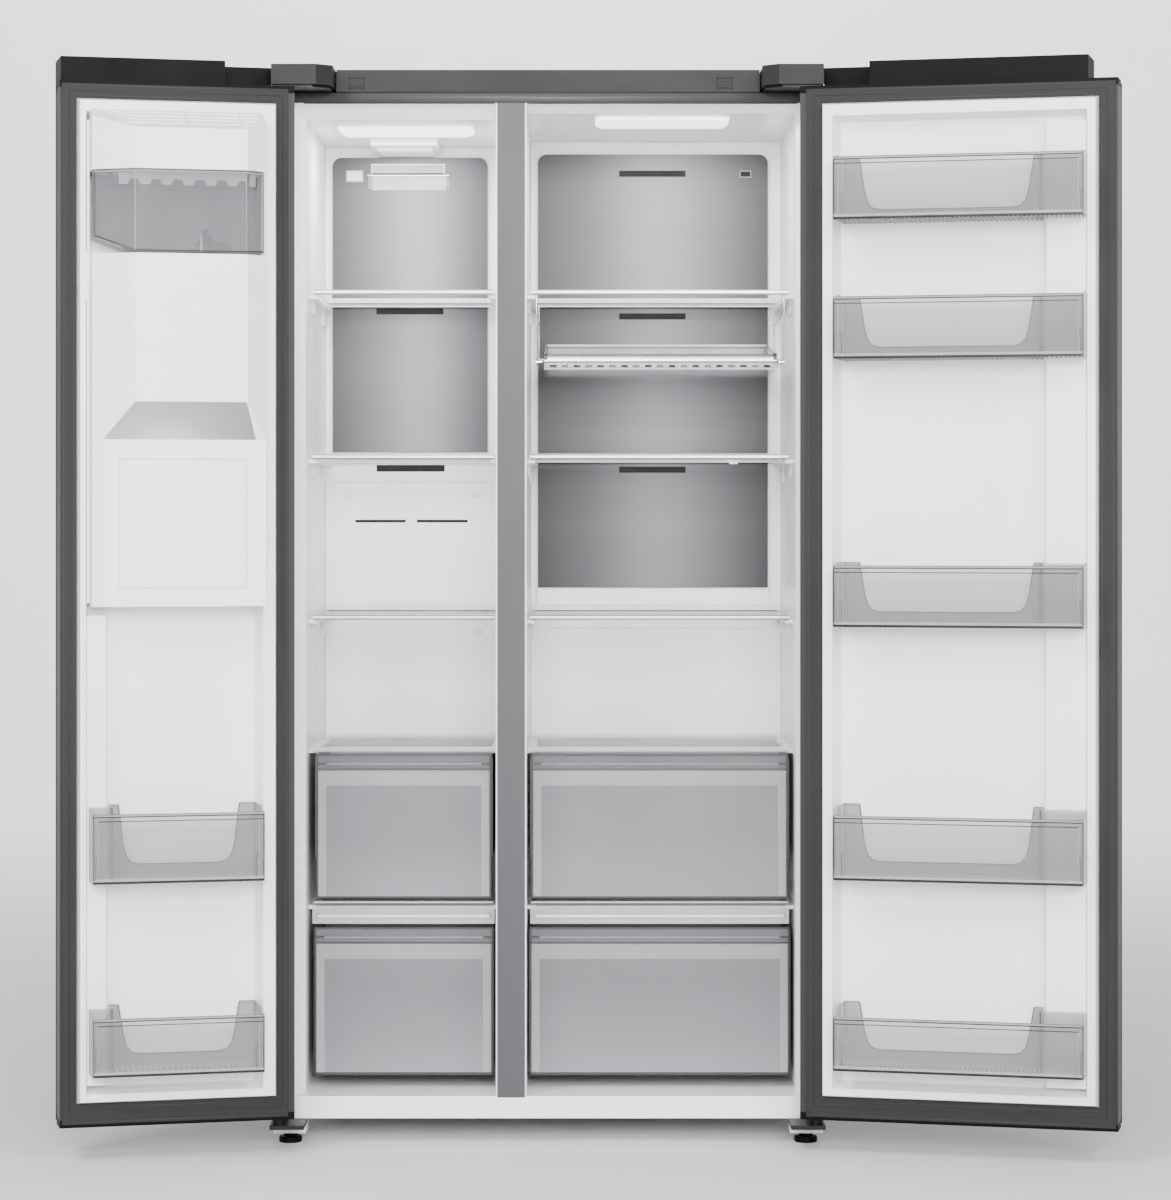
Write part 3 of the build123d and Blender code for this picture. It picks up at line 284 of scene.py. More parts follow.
def door_frame(side):
    """4x4 from door millimetres (u from the hinge edge, v = cabinet Y when shut, z) to row metres"""
    a = math.radians(-OPEN if side == "L" else OPEN)
    px = -HALF_W + PIN_IN if side == "L" else HALF_W - PIN_IN
    s = 1 if side == "L" else -1
    R = Matrix.Rotation(a, 4, "Z")
    shut = Matrix(((s, 0, 0, -HALF_W if side == "L" else HALF_W), (0, 1, 0, 0), (0, 0, 1, 0), (0, 0, 0, 1)))
    T0 = Matrix.Translation((px, PIN_Y, 0))
    T1 = Matrix.Translation((-px, -PIN_Y, 0))
    row = Matrix.Diagonal((0.001, 0.001, 0.001, 1)) @ Matrix.Translation((-OX, -OY, 0))
    return row @ T0 @ R @ T1 @ shut


CAB = Matrix.Diagonal((0.001, 0.001, 0.001, 1)) @ Matrix.Translation((-OX, -OY, 0))
DL, DR = door_frame("L"), door_frame("R")


class Piece:
    """gathers solids in millimetres of one frame and makes one smooth-edged mesh"""

    def __init__(self, name, frame, material, body, bevel=0.8, seg=2, replaces=(), slot=None, second=None):
        self.name, self.frame, self.mat, self.body = name, frame, material, body
        self.bm = bmesh.new()
        self.bevel, self.seg, self.rep, self.slot = bevel, seg, replaces, slot
        self.mats = [material] + list(second or [])
        self.i = 0

    def use(self, i):
        self.i = i
        return self

    def _tag(self, faces):
        for f in faces:
            f.material_index = self.i

    def box(self, x0, x1, y0, y1, z0, z1):
        v = [self.bm.verts.new(p) for p in ((x0, y0, z0), (x1, y0, z0), (x1, y1, z0), (x0, y1, z0),
                                             (x0, y0, z1), (x1, y0, z1), (x1, y1, z1), (x0, y1, z1))]
        f = [self.bm.faces.new([v[i] for i in q]) for q in
             ((3, 2, 1, 0), (4, 5, 6, 7), (0, 1, 5, 4), (1, 2, 6, 5), (2, 3, 7, 6), (3, 0, 4, 7))]
        self._tag(f)
        return self

    def prism(self, pts, axis, a, b):
        """extrudes a plane outline along x, y or z; pts are the other two coordinates in order"""
        def P(p, t):
            if axis == "x":
                return (t, p[0], p[1])
            if axis == "y":
                return (p[0], t, p[1])
            return (p[0], p[1], t)
        lo = [self.bm.verts.new(P(p, a)) for p in pts]
        hi = [self.bm.verts.new(P(p, b)) for p in pts]
        n = len(pts)
        f = [self.bm.faces.new(lo), self.bm.faces.new(hi)]
        for i in range(n):
            j = (i + 1) % n
            f.append(self.bm.faces.new((lo[i], lo[j], hi[j], hi[i])))
        self._tag(f)
        return self

    def tube(self, pts, r, seg=10):
        """round bar along a path of points"""
        pts = [Vector(p) for p in pts]
        rings = []
        for i, p in enumerate(pts):
            d0 = (p - pts[i - 1]).normalized() if i else (pts[1] - p).normalized()
            d1 = (pts[i + 1] - p).normalized() if i < len(pts) - 1 else d0
            t = (d0 + d1).normalized()
            k = 1 / max(0.5, math.sqrt(max(0.05, (1 + d0.dot(d1)) / 2)))
            up = Vector((0.21, 0.33, 0.92)) if abs(t.z) < 0.9 else Vector((0.9, 0.3, 0.1))
            a = t.cross(up).normalized()
            if rings:
                a = (a0 - t * a0.dot(t)).normalized()
            b = t.cross(a).normalized()
            a0 = a
            rings.append([self.bm.verts.new(p + (a * math.cos(2 * math.pi * s / seg) + b * math.sin(2 * math.pi * s / seg)) * r)
                          for s in range(seg)])
        f = []
        for r0, r1 in zip(rings, rings[1:]):
            for s in range(seg):
                f.append(self.bm.faces.new((r0[s], r0[(s + 1) % seg], r1[(s + 1) % seg], r1[s])))
        f.append(self.bm.faces.new(list(reversed(rings[0]))))
        f.append(self.bm.faces.new(rings[-1]))
        for x in f:
            x.smooth = True
        self._tag(f)
        return self

    def make(self, visible=True):
        bmesh.ops.recalc_face_normals(self.bm, faces=self.bm.faces)
        self.bm.transform(self.frame)
        if self.frame.determinant() < 0:
            bmesh.ops.reverse_faces(self.bm, faces=self.bm.faces)
        me = bpy.data.meshes.new(self.name)
        self.bm.to_mesh(me)
        self.bm.free()
        for m in self.mats:
            me.materials.append(m)
        ob = bpy.data.objects.new(self.name, me)
        bpy.context.scene.collection.objects.link(ob)
        if self.bevel:
            bv = ob.modifiers.new("edge", "BEVEL")
            bv.width, bv.segments, bv.limit_method, bv.angle_limit = self.bevel / 1000, self.seg, "ANGLE", math.radians(34)
            bv.harden_normals = True
        for p in me.polygons:
            p.use_smooth = True
        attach(ob, self.body)
        if self.rep:
            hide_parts(*self.rep)
        return ob


def dress(node, material, bevel=0.0, seg=2, angle=34):
    ob = NODES[node]
    ob.data.materials.clear()
    ob.data.materials.append(material)
    if bevel:
        bv = ob.modifiers.new("edge", "BEVEL")
        bv.width, bv.segments, bv.limit_method, bv.angle_limit = bevel / 1000, seg, "ANGLE", math.radians(angle)
        bv.harden_normals = True
        bv.use_clamp_overlap = True
    return ob


# ------------------------------------------------------------------ carried-over nodes
LOOK = {
    "outer_cabinet": "case_steel", "rear_panels": "plain_steel", "foam_insulation": "foam", "freezer_liner": "liner_white",
    "fridge_liner": "liner_white", "centre_mullion": "mullion_gray", "top_front_trim": "band_dark", "base_plate": "sill_white",
    "compressor": "compressor_black", "heat_exchangers": "coil_aluminium", "fan_motors": "dark_plastic",
    "metal_duct_panels": "duct_r", "duct_covers": "white_part", "ceiling_lamps": "lamp_cover", "drawer_covers": "clear_plastic",
    "hinge_brackets": "black_bracket", "hinge_covers": "gray_plastic", "water_inlet_valve": "dark_plastic", "cord_gland": "black_rubber",
    "left_door_skin": "case_steel", "left_door_liner": "liner_white", "left_door_foam": "foam", "left_door_gasket": "gasket",
    "left_door_caps": "dark_plastic", "dispenser_inner_cover": "white_part", "ice_maker_unit": "white_part",
    "dispenser_housing": "dark_plastic", "right_door_skin": "case_steel", "right_door_liner": "liner_white",
    "right_door_foam": "foam", "right_door_gasket": "gasket", "right_door_caps": "dark_plastic", "ice_bin": "smoked_plastic",
    "ice_auger": "gray_plastic", "dispenser_lever": "gray_plastic", "tray_hangers": "hanger_wire", "chilled_tray": "clear_plastic",
    "front_foot_left": "dark_plastic", "rear_roller_left": "gray_plastic", "front_foot_right": "dark_plastic",
    "rear_roller_right": "gray_plastic", "condenser_fan": "dark_plastic", "freezer_fan": "dark_plastic",
}
for n in NODES:
    if n.startswith("bin_"):
        LOOK[n] = "clear_plastic"
    elif "_shelf_" in n:
        LOOK[n] = "shelf_glass"
    elif "_drawer_" in n:
        LOOK[n] = "drawer_plastic"
for n, k in LOOK.items():
    dress(n, M[k])

# ------------------------------------------------------------------ door bins: rims, edges, clips, ribbed undersides
BINS = [("bin_left_upper", "L", 456, 566, 574), ("bin_left_lower", "L", 150, 242, 252), ("bin_right_1", "R", 1514, 1614, 1618),
        ("bin_right_2", "R", 1291, 1390, 1394), ("bin_right_3", "R", 862, 960, 964), ("bin_right_4", "R", 457, 560, 572),
        ("bin_right_5", "R", 152, 238, 251)]
BU = {"L": (62, 336, 300), "R": (69, 468, 394)}
for name, side, zb, zf, zr in BINS:
    ua, ub, n = BU[side]
    fr = DL if side == "L" else DR
    p = Piece(name + "_edges", fr, M["clear_edge"], name, bevel=0.35, second=[M["clear_dark"]], slot="clear_plastic")
    e = ub - 2.4
    p.use(0).box(ua - 0.3, e, 68.6, 72.4, zf - 3.2, zf + 0.3)
    p.use(1).box(ua + 1, e, 72.0, 72.4, zf - 4.9, zf - 3.2)
    p.use(1).box(ua, e, 71.6, 72.4, zf - 0.9, zf + 0.4)
    p.use(1).box(ua + 2, ub - 8, 72.0, 72.45, zf - 11.6, zf - 10.2)
    p.use(1).box(ua - 0.3, e, 71.2, 72.4, zb - 0.2, zb + 3.6)
    p.use(0).box(ua - 0.3, e, 71.2, 72.4, zb + 3.6, zb + 8.0)
    p.use(1).box(ua - 0.3, ua + 1.8, 71.4, 72.4, zb, zf).box(e, ub - 0.1, 69.8, 71.9, zb + 0.1, zf)
    for u in (ua + 7.5, ub - 9):
        p.use(0).box(u, u + 1.2, 72.0, 72.4, zb + 5, zf - 11)
    for u in (ua + 0.9, ub - 0.9):
        v0 = -26.5 if u < n else 16.5
        p.use(0).tube([(u, v0, zr), (u, 42, zr), (u, 48, zf), (u, 70, zf)], 1.1, 8)
        p.use(1).tube([(u, v0, zb + 0.8), (u, 71, zb + 0.8)], 1.0, 8)
        p.use(0).tube([(u, v0, zb + 1), (u, v0, zr)], 0.9, 8)
    p.use(1).box(n - 1.6, n + 0.3, 15.2, 16.6, zb + 3, zr - 1)
    p.use(0).box(n + 0.3, n + 2.2, 15.4, 16.4, zb + 3, zr - 1)
    cutp = [(ua + 26, -25.7, zr), (ua + 34, -25.7, zb + 52), (ua + 39, -25.7, zb + 34), (ua + 47, -25.7, zb + 25), (ua + 60, -25.7, zb + 22),
            (n - 50, -25.7, zb + 22), (n - 37, -25.7, zb + 25), (n - 29, -25.7, zb + 34), (n - 24, -25.7, zb + 52), (n - 16, -25.7, zr)]
    p.use(1).tube(cutp, 0.8, 8)
    p.use(0).tube([(ua + 1, -25.7, zr), (ua + 26, -25.7, zr)], 0.9, 8)
    p.use(0).tube([(n - 16, -25.7, zr), (n - 1, -25.7, zr)], 0.9, 8)
    # guide clips in the lower corners
    for a, b in ((ua + 6, ua + 11), (ub - 11, ub - 6)):
        p.use(1).tube([(a, 58, zb + 4), (a + (0 if a < 200 else 1.5), 58, zb + 40), ((a + b) / 2, 58, zb + 44), (b, 58, zb + 40), (b, 58, zb + 4)], 1.0, 8)
    # rib pattern under the floor, dark on the bins above eye height as painted shade on their undersides
    step = 7.2 if side == "R" else 9.0
    u = ua + 4
    while u < ub - 6:
        v0 = -24 if u + 4 < n else 19
        p.use(1 if zb > 1000 else 0).prism([(u, v0), (u + 2.6, v0), (min(u + 7.6, ub - 1), 69), (min(u + 5.0, ub - 3.6), 69)], "z", zb - 1.0, zb + 0.1)
        u += step
    p.make()

# ------------------------------------------------------------------ ice hood, ice bin and inner cover of the freezer door
p = Piece("ice_bin_edges", DL, M["clear_edge"], "ice_bin", bevel=0.4, second=[M["clear_dark"], M["white_grey"]], slot="smoked_plastic")
rimz = 1586.5
p.use(0).tube([(62, -24, rimz), (62, 60, rimz), (93, 86, rimz), (271, 86, rimz), (330, 46, rimz), (330, -24, rimz)], 1.4, 10)
p.use(1).tube([(62, -20, 1463), (62, 60, 1462.6), (93, 86.3, 1460.6), (268, 86.3, 1460.6), (304, 64, 1474), (330, 46, 1485)], 1.1, 10)
p.use(1).tube([(62, 60, 1461), (62, 60, rimz)], 0.9, 8)
p.use(1).tube([(330.3, 46, 1485), (330.3, 46, rimz)], 1.2, 8)
p.use(0).tube([(93, 86.6, 1461), (93, 86.6, rimz)], 0.7, 8)
p.use(0).tube([(271, 86.6, 1461), (271, 86.6, rimz)], 0.7, 8)
# upper frame of the bin with its scalloped edge, and the stirring rod
scal = [(76, 1587), (76, 1566)]
for k in range(6):
    a = 84 + k * 35
    scal += [(a, 1566), (a + 5, 1575), (a + 17, 1575), (a + 22, 1566)]
scal += [(294, 1566), (294, 1587)]
p.use(2).prism(scal, "y", 66, 68.5)
p.use(2).box(76, 294, 40, 66, 1584, 1587)
p.use(1).tube([(76, 76, 1580), (76, 76, 1562), (190, 76, 1562), (197, 76, 1557), (226, 76, 1557), (232, 76, 1563), (312, 50, 1564)], 1.0, 8)
p.use(1).box(86, 90, 70, 72, 1572, 1586).box(304, 308, 52, 54, 1574, 1586)
# dividing post and the outlet ramp at the front
p.use(2).prism([(163, 1461.5), (167, 1461.5), (166, 1484), (165, 1490), (164, 1484)], "y", 80, 84)
arc = [(155, 1461.8)] + [(136 + 19 * math.cos(math.radians(t)), 1461.8 + 15 * math.sin(math.radians(t))) for t in range(20, 180, 20)] + [(117, 1461.8)]
p.use(1).prism(arc, "y", 72, 83)
p.make()

p = Piece("ice_cover_trim", DL, M["white_grey"], "left_door", bevel=0.8, second=[M["white_part"], M["vent_shade"]], slot="liner_white")
p.use(0).tube([(59.6, 20, 1311), (59.6, 60.2, 1311), (92, 89.6, 1311), (272, 89.6, 1311), (333, 48, 1311)], 0.7, 8)
# nested frames on the lower cover
for a, b, c, d, t, i in ((88, 294, 924, 1132, 1.6, 0), (96, 286, 932, 1124, 1.0, 1), (128, 250, 948, 1112, 1.2, 1)):
    p.use(i)
    p.box(a, b, 59.4, 60 + t, d - 3, d).box(a, b, 59.4, 60 + t, c, c + 3).box(a, a + 3, 59.4, 60 + t, c + 3, d - 3).box(b - 3, b, 59.4, 60 + t, c + 3, d - 3)
p.use(1).box(131, 247, 59.4, 60.9, 951, 1109)
p.use(1).box(334.5, 343, 9, 13, 1385, 1457).box(337, 341, 12, 13.6, 1392, 1450)
# grey shadow strips behind the louvres, and fillets closing the side gaps
p.use(2)
for k in range(4):
    vv, zz = 32 + 13.5 * k, 1681 - 6.7 * k
    p.box((66, 67, 70, 82)[k] - 2, (305, 295, 285, 276)[k] + 2, vv - 5, vv + 5, zz - 14, zz - 12)
p.use(1).box(334.3, 338.3, 4.5, 9.4, 900, 1672).box(53.9, 57.7, 5.5, 9.4, 900, 1672)
# lip under the hood
p.use(1).tube([(58.6, 0, 1591), (58.6, 60, 1591), (92, 89, 1591), (272, 89, 1591), (333, 48, 1591), (333, 0, 1591)], 1.2, 8)
p.make()

# painted shade: the downward-facing slope of the ice cover is darkened in its colour
p = Piece("ice_cover_slope", DL, M["slope_painted_shade"], "left_door", bevel=0, slot="liner_white")
w0 = [p.bm.verts.new(c) for c in ((74, 60.3, 1161.5), (318, 60.3, 1161.5), (318, 60.0, 1161.0), (74, 60.0, 1161.0))]
t0 = [p.bm.verts.new(c) for c in ((93, 89.4, 1220.4), (271, 89.4, 1220.4), (271, 88.9, 1220.4), (93, 88.9, 1220.4))]
for q in range(4):
    p.bm.faces.new((w0[q], w0[(q + 1) % 4], t0[(q + 1) % 4], t0[q]))
p.bm.faces.new(w0)
p.bm.faces.new(list(reversed(t0)))
p.make()

# gasket bellows: two raised lines round each door in a lighter copy of the gasket rubber as painted highlight, and a
# line of plain gasket rubber between them
for side, fr, w, body in (("L", DL, 380, "left_door"), ("R", DR, 514, "right_door")):
    p = Piece("gasket_lines_" + side, fr, M["gasket_painted_highlight"], body, bevel=0, second=[M["gasket"]], slot="gasket")
    for d, i in ((0.12, 0), (0.82, 0), (0.5, 1)):
        g0, g1 = (11.5, 30.7) if side == "L" else (11.5, 36.7)
        h0, h1 = (353.3, 377) if side == "L" else (484.3, 511)
        a, b, c, e = g0 + (g1 - g0) * d, h1 + (h0 - h1) * d, 65 + 32.7 * d, 1732 - 23.2 * d
        r = 0.85
        p.use(i)
        for q in (((a, -1.95, c), (b, -1.95, c)), ((a, -1.95, e), (b, -1.95, e)), ((a, -1.95, c), (a, -1.95, e)), ((b, -1.95, c), (b, -1.95, e))):
            p.tube(q, r, 8)
    p.make()

# ------------------------------------------------------------------ shelves
def shelf_piece(node, x0, x1, z, clip=False):
    p = Piece(node + "_look", CAB, M["shelf_glass"], node, bevel=0.5, second=[M["rail_satin"], M["clear_dark"], M["white_grey"], M["clear_edge"]],
              replaces=(node,), slot="shelf_glass")
    p.use(0).box(x0 + 1, x1 - 1, 108, 477, z - 6, z - 2)
    # front rail: light lip with a dark line above and below
    p.use(1).prism([(104, z - 7), (104, z - 1), (105, z), (116, z), (116, z - 1.8), (108, z - 1.8), (108, z - 6.2), (116, z - 6.2), (116, z - 8), (105, z - 8)], "x", x0, x1)
    p.use(2).box(x0 + 1, x1 - 1, 103.7, 104.2, z - 1.6, z - 0.4)
    p.use(2).box(x0 + 1, x1 - 1, 103.7, 104.2, z - 7.4, z - 5.8)
    # rear rail standing up behind the pane
    p.use(3).prism([(468, z - 8), (468, z - 6.2), (477, z - 6.2), (477, z - 1.8), (470, z - 1.8), (470, z + 6.5), (471.5, z + 8), (478.5, z + 8), (480, z + 6.5), (480, z - 8)], "x", x0, x1)
    p.use(2).box(x0 + 2, x1 - 2, 469.7, 470.1, z - 1.8, z - 0.8)
    p.use(4).tube([(x0 + 1.4, 116, z - 1.6), (x0 + 1.4, 468, z - 1.6)], 0.9, 8)
    p.use(4).tube([(x1 - 1.4, 116, z - 1.6), (x1 - 1.4, 468, z - 1.6)], 0.9, 8)
    if clip:
        p.use(3).box(300, 322, 117, 140, z - 13, z - 6.4).box(304, 318, 116.6, 118, z - 16, z - 8)
    p.make()


for i, z in enumerate((1420, 1143, 873), 1):
    shelf_piece(f"freezer_shelf_{i}", -397, -91, z)
    shelf_piece(f"fridge_shelf_{i}", -31, 404, z, clip=(i == 2))

p = Piece("drawer_covers_look", CAB, M["shelf_glass"], "cabinet", bevel=0.6, second=[M["rail_satin"], M["clear_edge"], M["rail_clear"], M["rail_clear"], M["white_grey"]],
          replaces=("drawer_covers",), slot="clear_plastic")
for x0, x1 in ((-397, -91), (-31, 404)):
    z = 651
    p.use(0).box(x0 + 0.5, x1 - 0.5, 112, 472, z - 8, z - 3)
    p.use(3).prism([(102, z - 8), (102, z - 1.5), (103.5, z), (112, z), (112, z - 9), (103, z - 9)], "x", x0, x1)
    p.use(2).box(x0 + 1, x1 - 1, 101.8, 102.2, z - 7.6, z - 6.4)
    p.use(5).box(x0, x1, 472, 480, z - 8, z)
    z = 392
    p.use(0).box(x0 + 0.5, x1 - 0.5, 112, 472, z - 8, z - 3)
    p.use(4).box(x0, x1, 104, 108, z - 38, z - 8)
    p.use(3).box(x0 + 2, x1 - 2, 102, 104, z - 3.5, z).box(x0 + 2, x1 - 2, 102, 104, z - 16, z - 12.6).box(x0 + 2, x1 - 2, 102, 104, z - 38, z - 35)
    p.use(2).box(x0 + 34, x1 - 40, 103.4, 104, z - 12.4, z - 11.6).box(x0 + 3, x1 - 3, 103.4, 104, z - 20.6, z - 19.8).box(x0 + 3, x1 - 3, 103.4, 104, z - 29, z - 28.2)
    p.use(1).box(x0 + 8, x1 - 8, 102.2, 104, z - 27.6, z - 23)
    p.use(2).box(x0 + 6, x0 + 9, 102.2, 104, z - 27, z - 20).box(x1 - 9, x1 - 6, 102.2, 104, z - 27, z - 20)
    p.use(5).box(x0, x1, 472, 480, z - 8, z)
p.make()

# ------------------------------------------------------------------ tray and its hangers
p = Piece("tray_hangers_look", CAB, M["hanger_wire"], "fridge_shelf_1", bevel=0.4, replaces=("tray_hangers",), slot="hanger_wire")
for x, a, b in ((-20.5, -21.8, -11), (396.5, 387, 397.8)):
    s = [(x, 116, 1411.5), (x, 116, 1312), (x, 119, 1304), (x, 127, 1300.2), (x, 425, 1300.2), (x, 433, 1304), (x, 436, 1312), (x, 436, 1411.5)]
    p.tube(s, 1.35, 10)
    p.tube([(x, 116, 1398), (x, 128, 1386), (x, 180, 1380), (x, 420, 1376), (x, 436, 1380)], 1.1, 8)
    p.box(a, b, 114, 438, 1298.2, 1300.4)
p.make()

p = Piece("chilled_tray_look", CAB, M["clear_plastic"], "chilled_tray", bevel=0.5, second=[M["clear_dark"], M["rail_satin"], M["clear_edge"], M["slot_dark"]],
          replaces=("chilled_tray",), slot="clear_plastic")
p.use(0).box(-8, 384, 108, 446, 1286, 1289)
p.use(0).box(-8, 384, 108, 111.5, 1289, 1312).box(-8, 384, 443, 446, 1289, 1344)
for a, b in ((-8, -5), (381, 384)):
    p.use(0).prism([(111.5, 1289), (443, 1289), (443, 1344), (436, 1344), (132, 1312), (111.5, 1312)], "x", a, b)
    m = (a + b) / 2
    p.use(3).tube([(m, 109, 1312), (m, 132, 1312), (m, 436, 1343.4), (m, 445, 1343.4)], 1.5, 8)
p.use(3).box(-18, -8, 114, 440, 1301.4, 1304.4).box(384, 394, 114, 440, 1301.4, 1304.4)
p.use(2).box(-8, 384, 107.2, 112, 1300, 1305.5)
p.use(1).box(-7, 383, 107.0, 111, 1308.5, 1312.2).box(-7, 383, 107.2, 108, 1297.6, 1299)
p.use(1).box(-8.2, -2, 107, 112, 1302, 1314).box(378, 384.2, 107, 112, 1302, 1314)
p.use(3).box(-8, 384, 107.4, 109, 1285.8, 1288)
for k in range(19):
    x = 2 + 20 * k
    p.use(1 if k % 2 else 4).box(x, x + 11, 107.3, 108.2, 1290, 1293.6)
p.use(3).box(-8, 384, 441.6, 446, 1340, 1344).use(1).box(-6, 382, 441.2, 441.8, 1337.6, 1338.8)
p.make()

# ------------------------------------------------------------------ drawers
def drawer_piece(node, x0, x1, z0, z1, y1, low):
    p = Piece(node + "_look", CAB, M["drawer_side"], node, bevel=0.9, second=[M["drawer_front"], M["drawer_edge"], M["drawer_band"], M["drawer_band_painted_highlight"], M["drawer_sheen"]],
              replaces=(node,), slot="drawer_plastic")
    p.use(0).box(x0, x0 + 3, 98, y1, z0 + 3, z1).box(x1 - 3, x1, 98, y1, z0 + 3, z1).box(x0 + 3, x1 - 3, y1 - 3, y1, z0 + 3, z1)
    p.use(0).box(x0, x1, 98, y1, z0, z0 + 3)
    zb = z1 - 26
    # front wall, its tone carrying painted shading, and the grip band over it
    p.use(1).box(x0 + 3, x1 - 3, 92.4, 98, z0 + 3, zb - 1)
    p.use(3).box(x0 + 3, x1 - 3, 93.4, 98, zb + 1, z1 - 2.5)
    p.use(2).box(x0 + 2.6, x1 - 2.6, 92.4, 97, zb - 1, zb + 1)
    # dark edge lines at top and bottom; on the lower drawers the bottom line is thicker, and the extra width is painted
    # shadow under the drawer
    p.use(2).box(x0, x1, 92, 98, z1 - 2.5, z1).box(x0, x1, 92, 98, z0, z0 + (3 if not low else 5))
    p.use(2).box(x0, x0 + 2.8, 92, 98, z0 + 3, z1 - 2.5).box(x1 - 2.8, x1, 92, 98, z0 + 3, z1 - 2.5)
    p.use(2).box(x0 + 4, x0 + 17, 92.9, 94, z1 - 18, z1 - 14.5).box(x1 - 17, x1 - 4, 92.9, 94, z1 - 18, z1 - 14.5)
    # painted highlight: a light line along the grip band
    p.use(4).box(x0 + 17, x1 - 17, 92.9, 93.8, z1 - 17.4, z1 - 16)
    # grip lip turned to the inside
    p.use(1).box(x0 + 3, x1 - 3, 98, 114, z1 - 5, z1 - 2)
    # lighter moulded border on the front, drawn as a faint light overlay: partly the moulding, partly painted sheen
    p.use(5).box(x0 + 4, x1 - 4, 92.05, 92.5, zb - 27, zb - 2.4).box(x0 + 4, x0 + 17, 92.05, 92.5, z0 + 4, zb - 27).box(x1 - 17, x1 - 4, 92.05, 92.5, z0 + 4, zb - 27)
    # side runners
    if not low:
        p.use(2).box(x0 - 2.2, x0 + 0.2, 96, 430, z0 + 68, z1 - 6).box(x1 - 0.2, x1 + 2.2, 96, 430, z0 + 68, z1 - 6)
    else:
        p.use(2).box(x0 - 1.4, x0 + 0.2, 96, 370, z0 + 4, z1 - 4).box(x1 - 0.2, x1 + 1.4, 96, 370, z0 + 4, z1 - 4)
    p.make()


drawer_piece("freezer_drawer_upper", -390, -96, 398, 640, 468, False)
drawer_piece("freezer_drawer_lower", -393, -93, 101, 349, 382, True)
drawer_piece("fridge_drawer_upper", -29, 402, 398, 640, 468, False)
drawer_piece("fridge_drawer_lower", -32, 405, 101, 349, 382, True)

# ------------------------------------------------------------------ cabinet trim
p = Piece("lamp_lenses", CAB, M["lamp_cover"], "cabinet", bevel=1.6, seg=3, replaces=("ceiling_lamps",), slot="lamp_cover")
for x0, x1, y0, y1, z in ((-360, -128, 164, 276, 1700), (78, 306, 104, 232, 1710)):
    p.prism([(x0, z), (x0 + 11, z - 6), (x1 - 11, z - 6), (x1, z)], "y", y0, y1)
p.make()

p = Piece("front_band", CAB, M["band_light"], "cabinet", bevel=0, slot="case_steel", second=[M["band_line"]])
p.use(0).box(-455, 455, -0.4, 0.2, 1722, 1738.6)
p.use(1).box(-455, 455, -0.5, 0.2, 1738.6, 1740.2).box(-404, -88, -0.5, 0.2, 1720.6, 1722).box(-34, 412, -0.5, 0.2, 1720.6, 1722)
p.make()

p = Piece("trim_clips", CAB, M["band_line"], "cabinet", bevel=0.5, second=[M["band_dark"], M["slot_dark"]], slot="gray_plastic")
for x in (-316.5, 292):
    z = 1755
    a, b, c, d = x - 13, x + 13, z - 9.5, z + 9.5
    p.use(2).box(a, b, 0.2, 1.2, d - 2.2, d).box(a, b, 0.2, 1.2, c, c + 2.2).box(a, a + 2.2, 0.2, 1.2, c, d).box(b - 2.2, b, 0.2, 1.2, c, d)
    p.use(1).box(a + 2.4, b - 2.4, 0.4, 1.2, c + 2.4, d - 2.4)
    oval = [(x + 9 * math.cos(math.radians(t)), z - 1 + 5.6 * math.sin(math.radians(t))) for t in range(0, 360, 20)]
    oval2 = [(x + 6.6 * math.cos(math.radians(t)), z - 0.4 + 2.6 * math.sin(math.radians(t))) for t in range(0, 360, 20)]
    p.use(2).prism(oval, "y", 0.2, 1.2)
    p.use(1).prism(oval2, "y", -0.2, 1.0)
p.make()

# sheet metal ducts: dark backs in the slots as painted shade, sensors, a painted shade strip in the recess over the
# outlet, and the scoop of the freezer outlet with painted shade on its sides
p = Piece("duct_details", CAB, M["slot_dark"], "cabinet", bevel=0.3, second=[M["duct_light"], M["white_grey"], M["duct_shade"]], slot="duct_metal")
# painted shade: dark boxes behind the duct slots stand for the shade inside them
for x0, x1, z0, z1, y in ((-312, -192, 1400, 1411, 490), (122, 241, 1646, 1657, 490), (122, 241, 1391, 1402, 490), (122, 241, 1117, 1128, 490),
                          (-312, -190, 1119, 1131, 498), (-350, -260, 1028, 1033, 498), (-240, -149, 1028, 1033, 498)):
    p.use(0).box(x0, x1, y - 0.35, y + 1.6, z0, z1)
p.use(0).box(339, 357, 489.6, 491, 1646, 1656)
p.use(3).box(338, 358, 489.75, 490.4, 1645, 1657)
p.use(2).box(-363.5, -337, 487.6, 490.4, 1639, 1656)
p.use(3).box(-366, -335.5, 489.7, 490.4, 1637, 1657.5)
# painted shade: a grey strip fills the recess above the outlet
p.use(3).box(-320, -190, 489.4, 490.4, 1652, 1668)
p.use(1).box(-321, -189, 488.4, 490.4, 1667, 1669).box(-321, -319.4, 488.4, 490.4, 1652, 1668).box(-191, -189.4, 488.4, 490.4, 1652, 1668)
# painted shade: a dark line in the outlet slot above the scoop
p.use(0).box(-318, -192, 489, 490.4, 1649.5, 1652.4)
p.use(1).prism([(476, 1646), (476, 1648.4), (490.4, 1649.6), (490.4, 1646)], "x", -327, -181)
p.use(1).prism([(480, 1646), (490.4, 1646), (490.4, 1621), (488, 1622)], "x", -319, -187)
# painted shade: the scoop's side faces take the darker duct grey
p.use(3).prism([(486, 1646), (490.4, 1646), (490.4, 1622)], "x", -326, -319).prism([(486, 1646), (490.4, 1646), (490.4, 1622)], "x", -187, -181)
p.make()

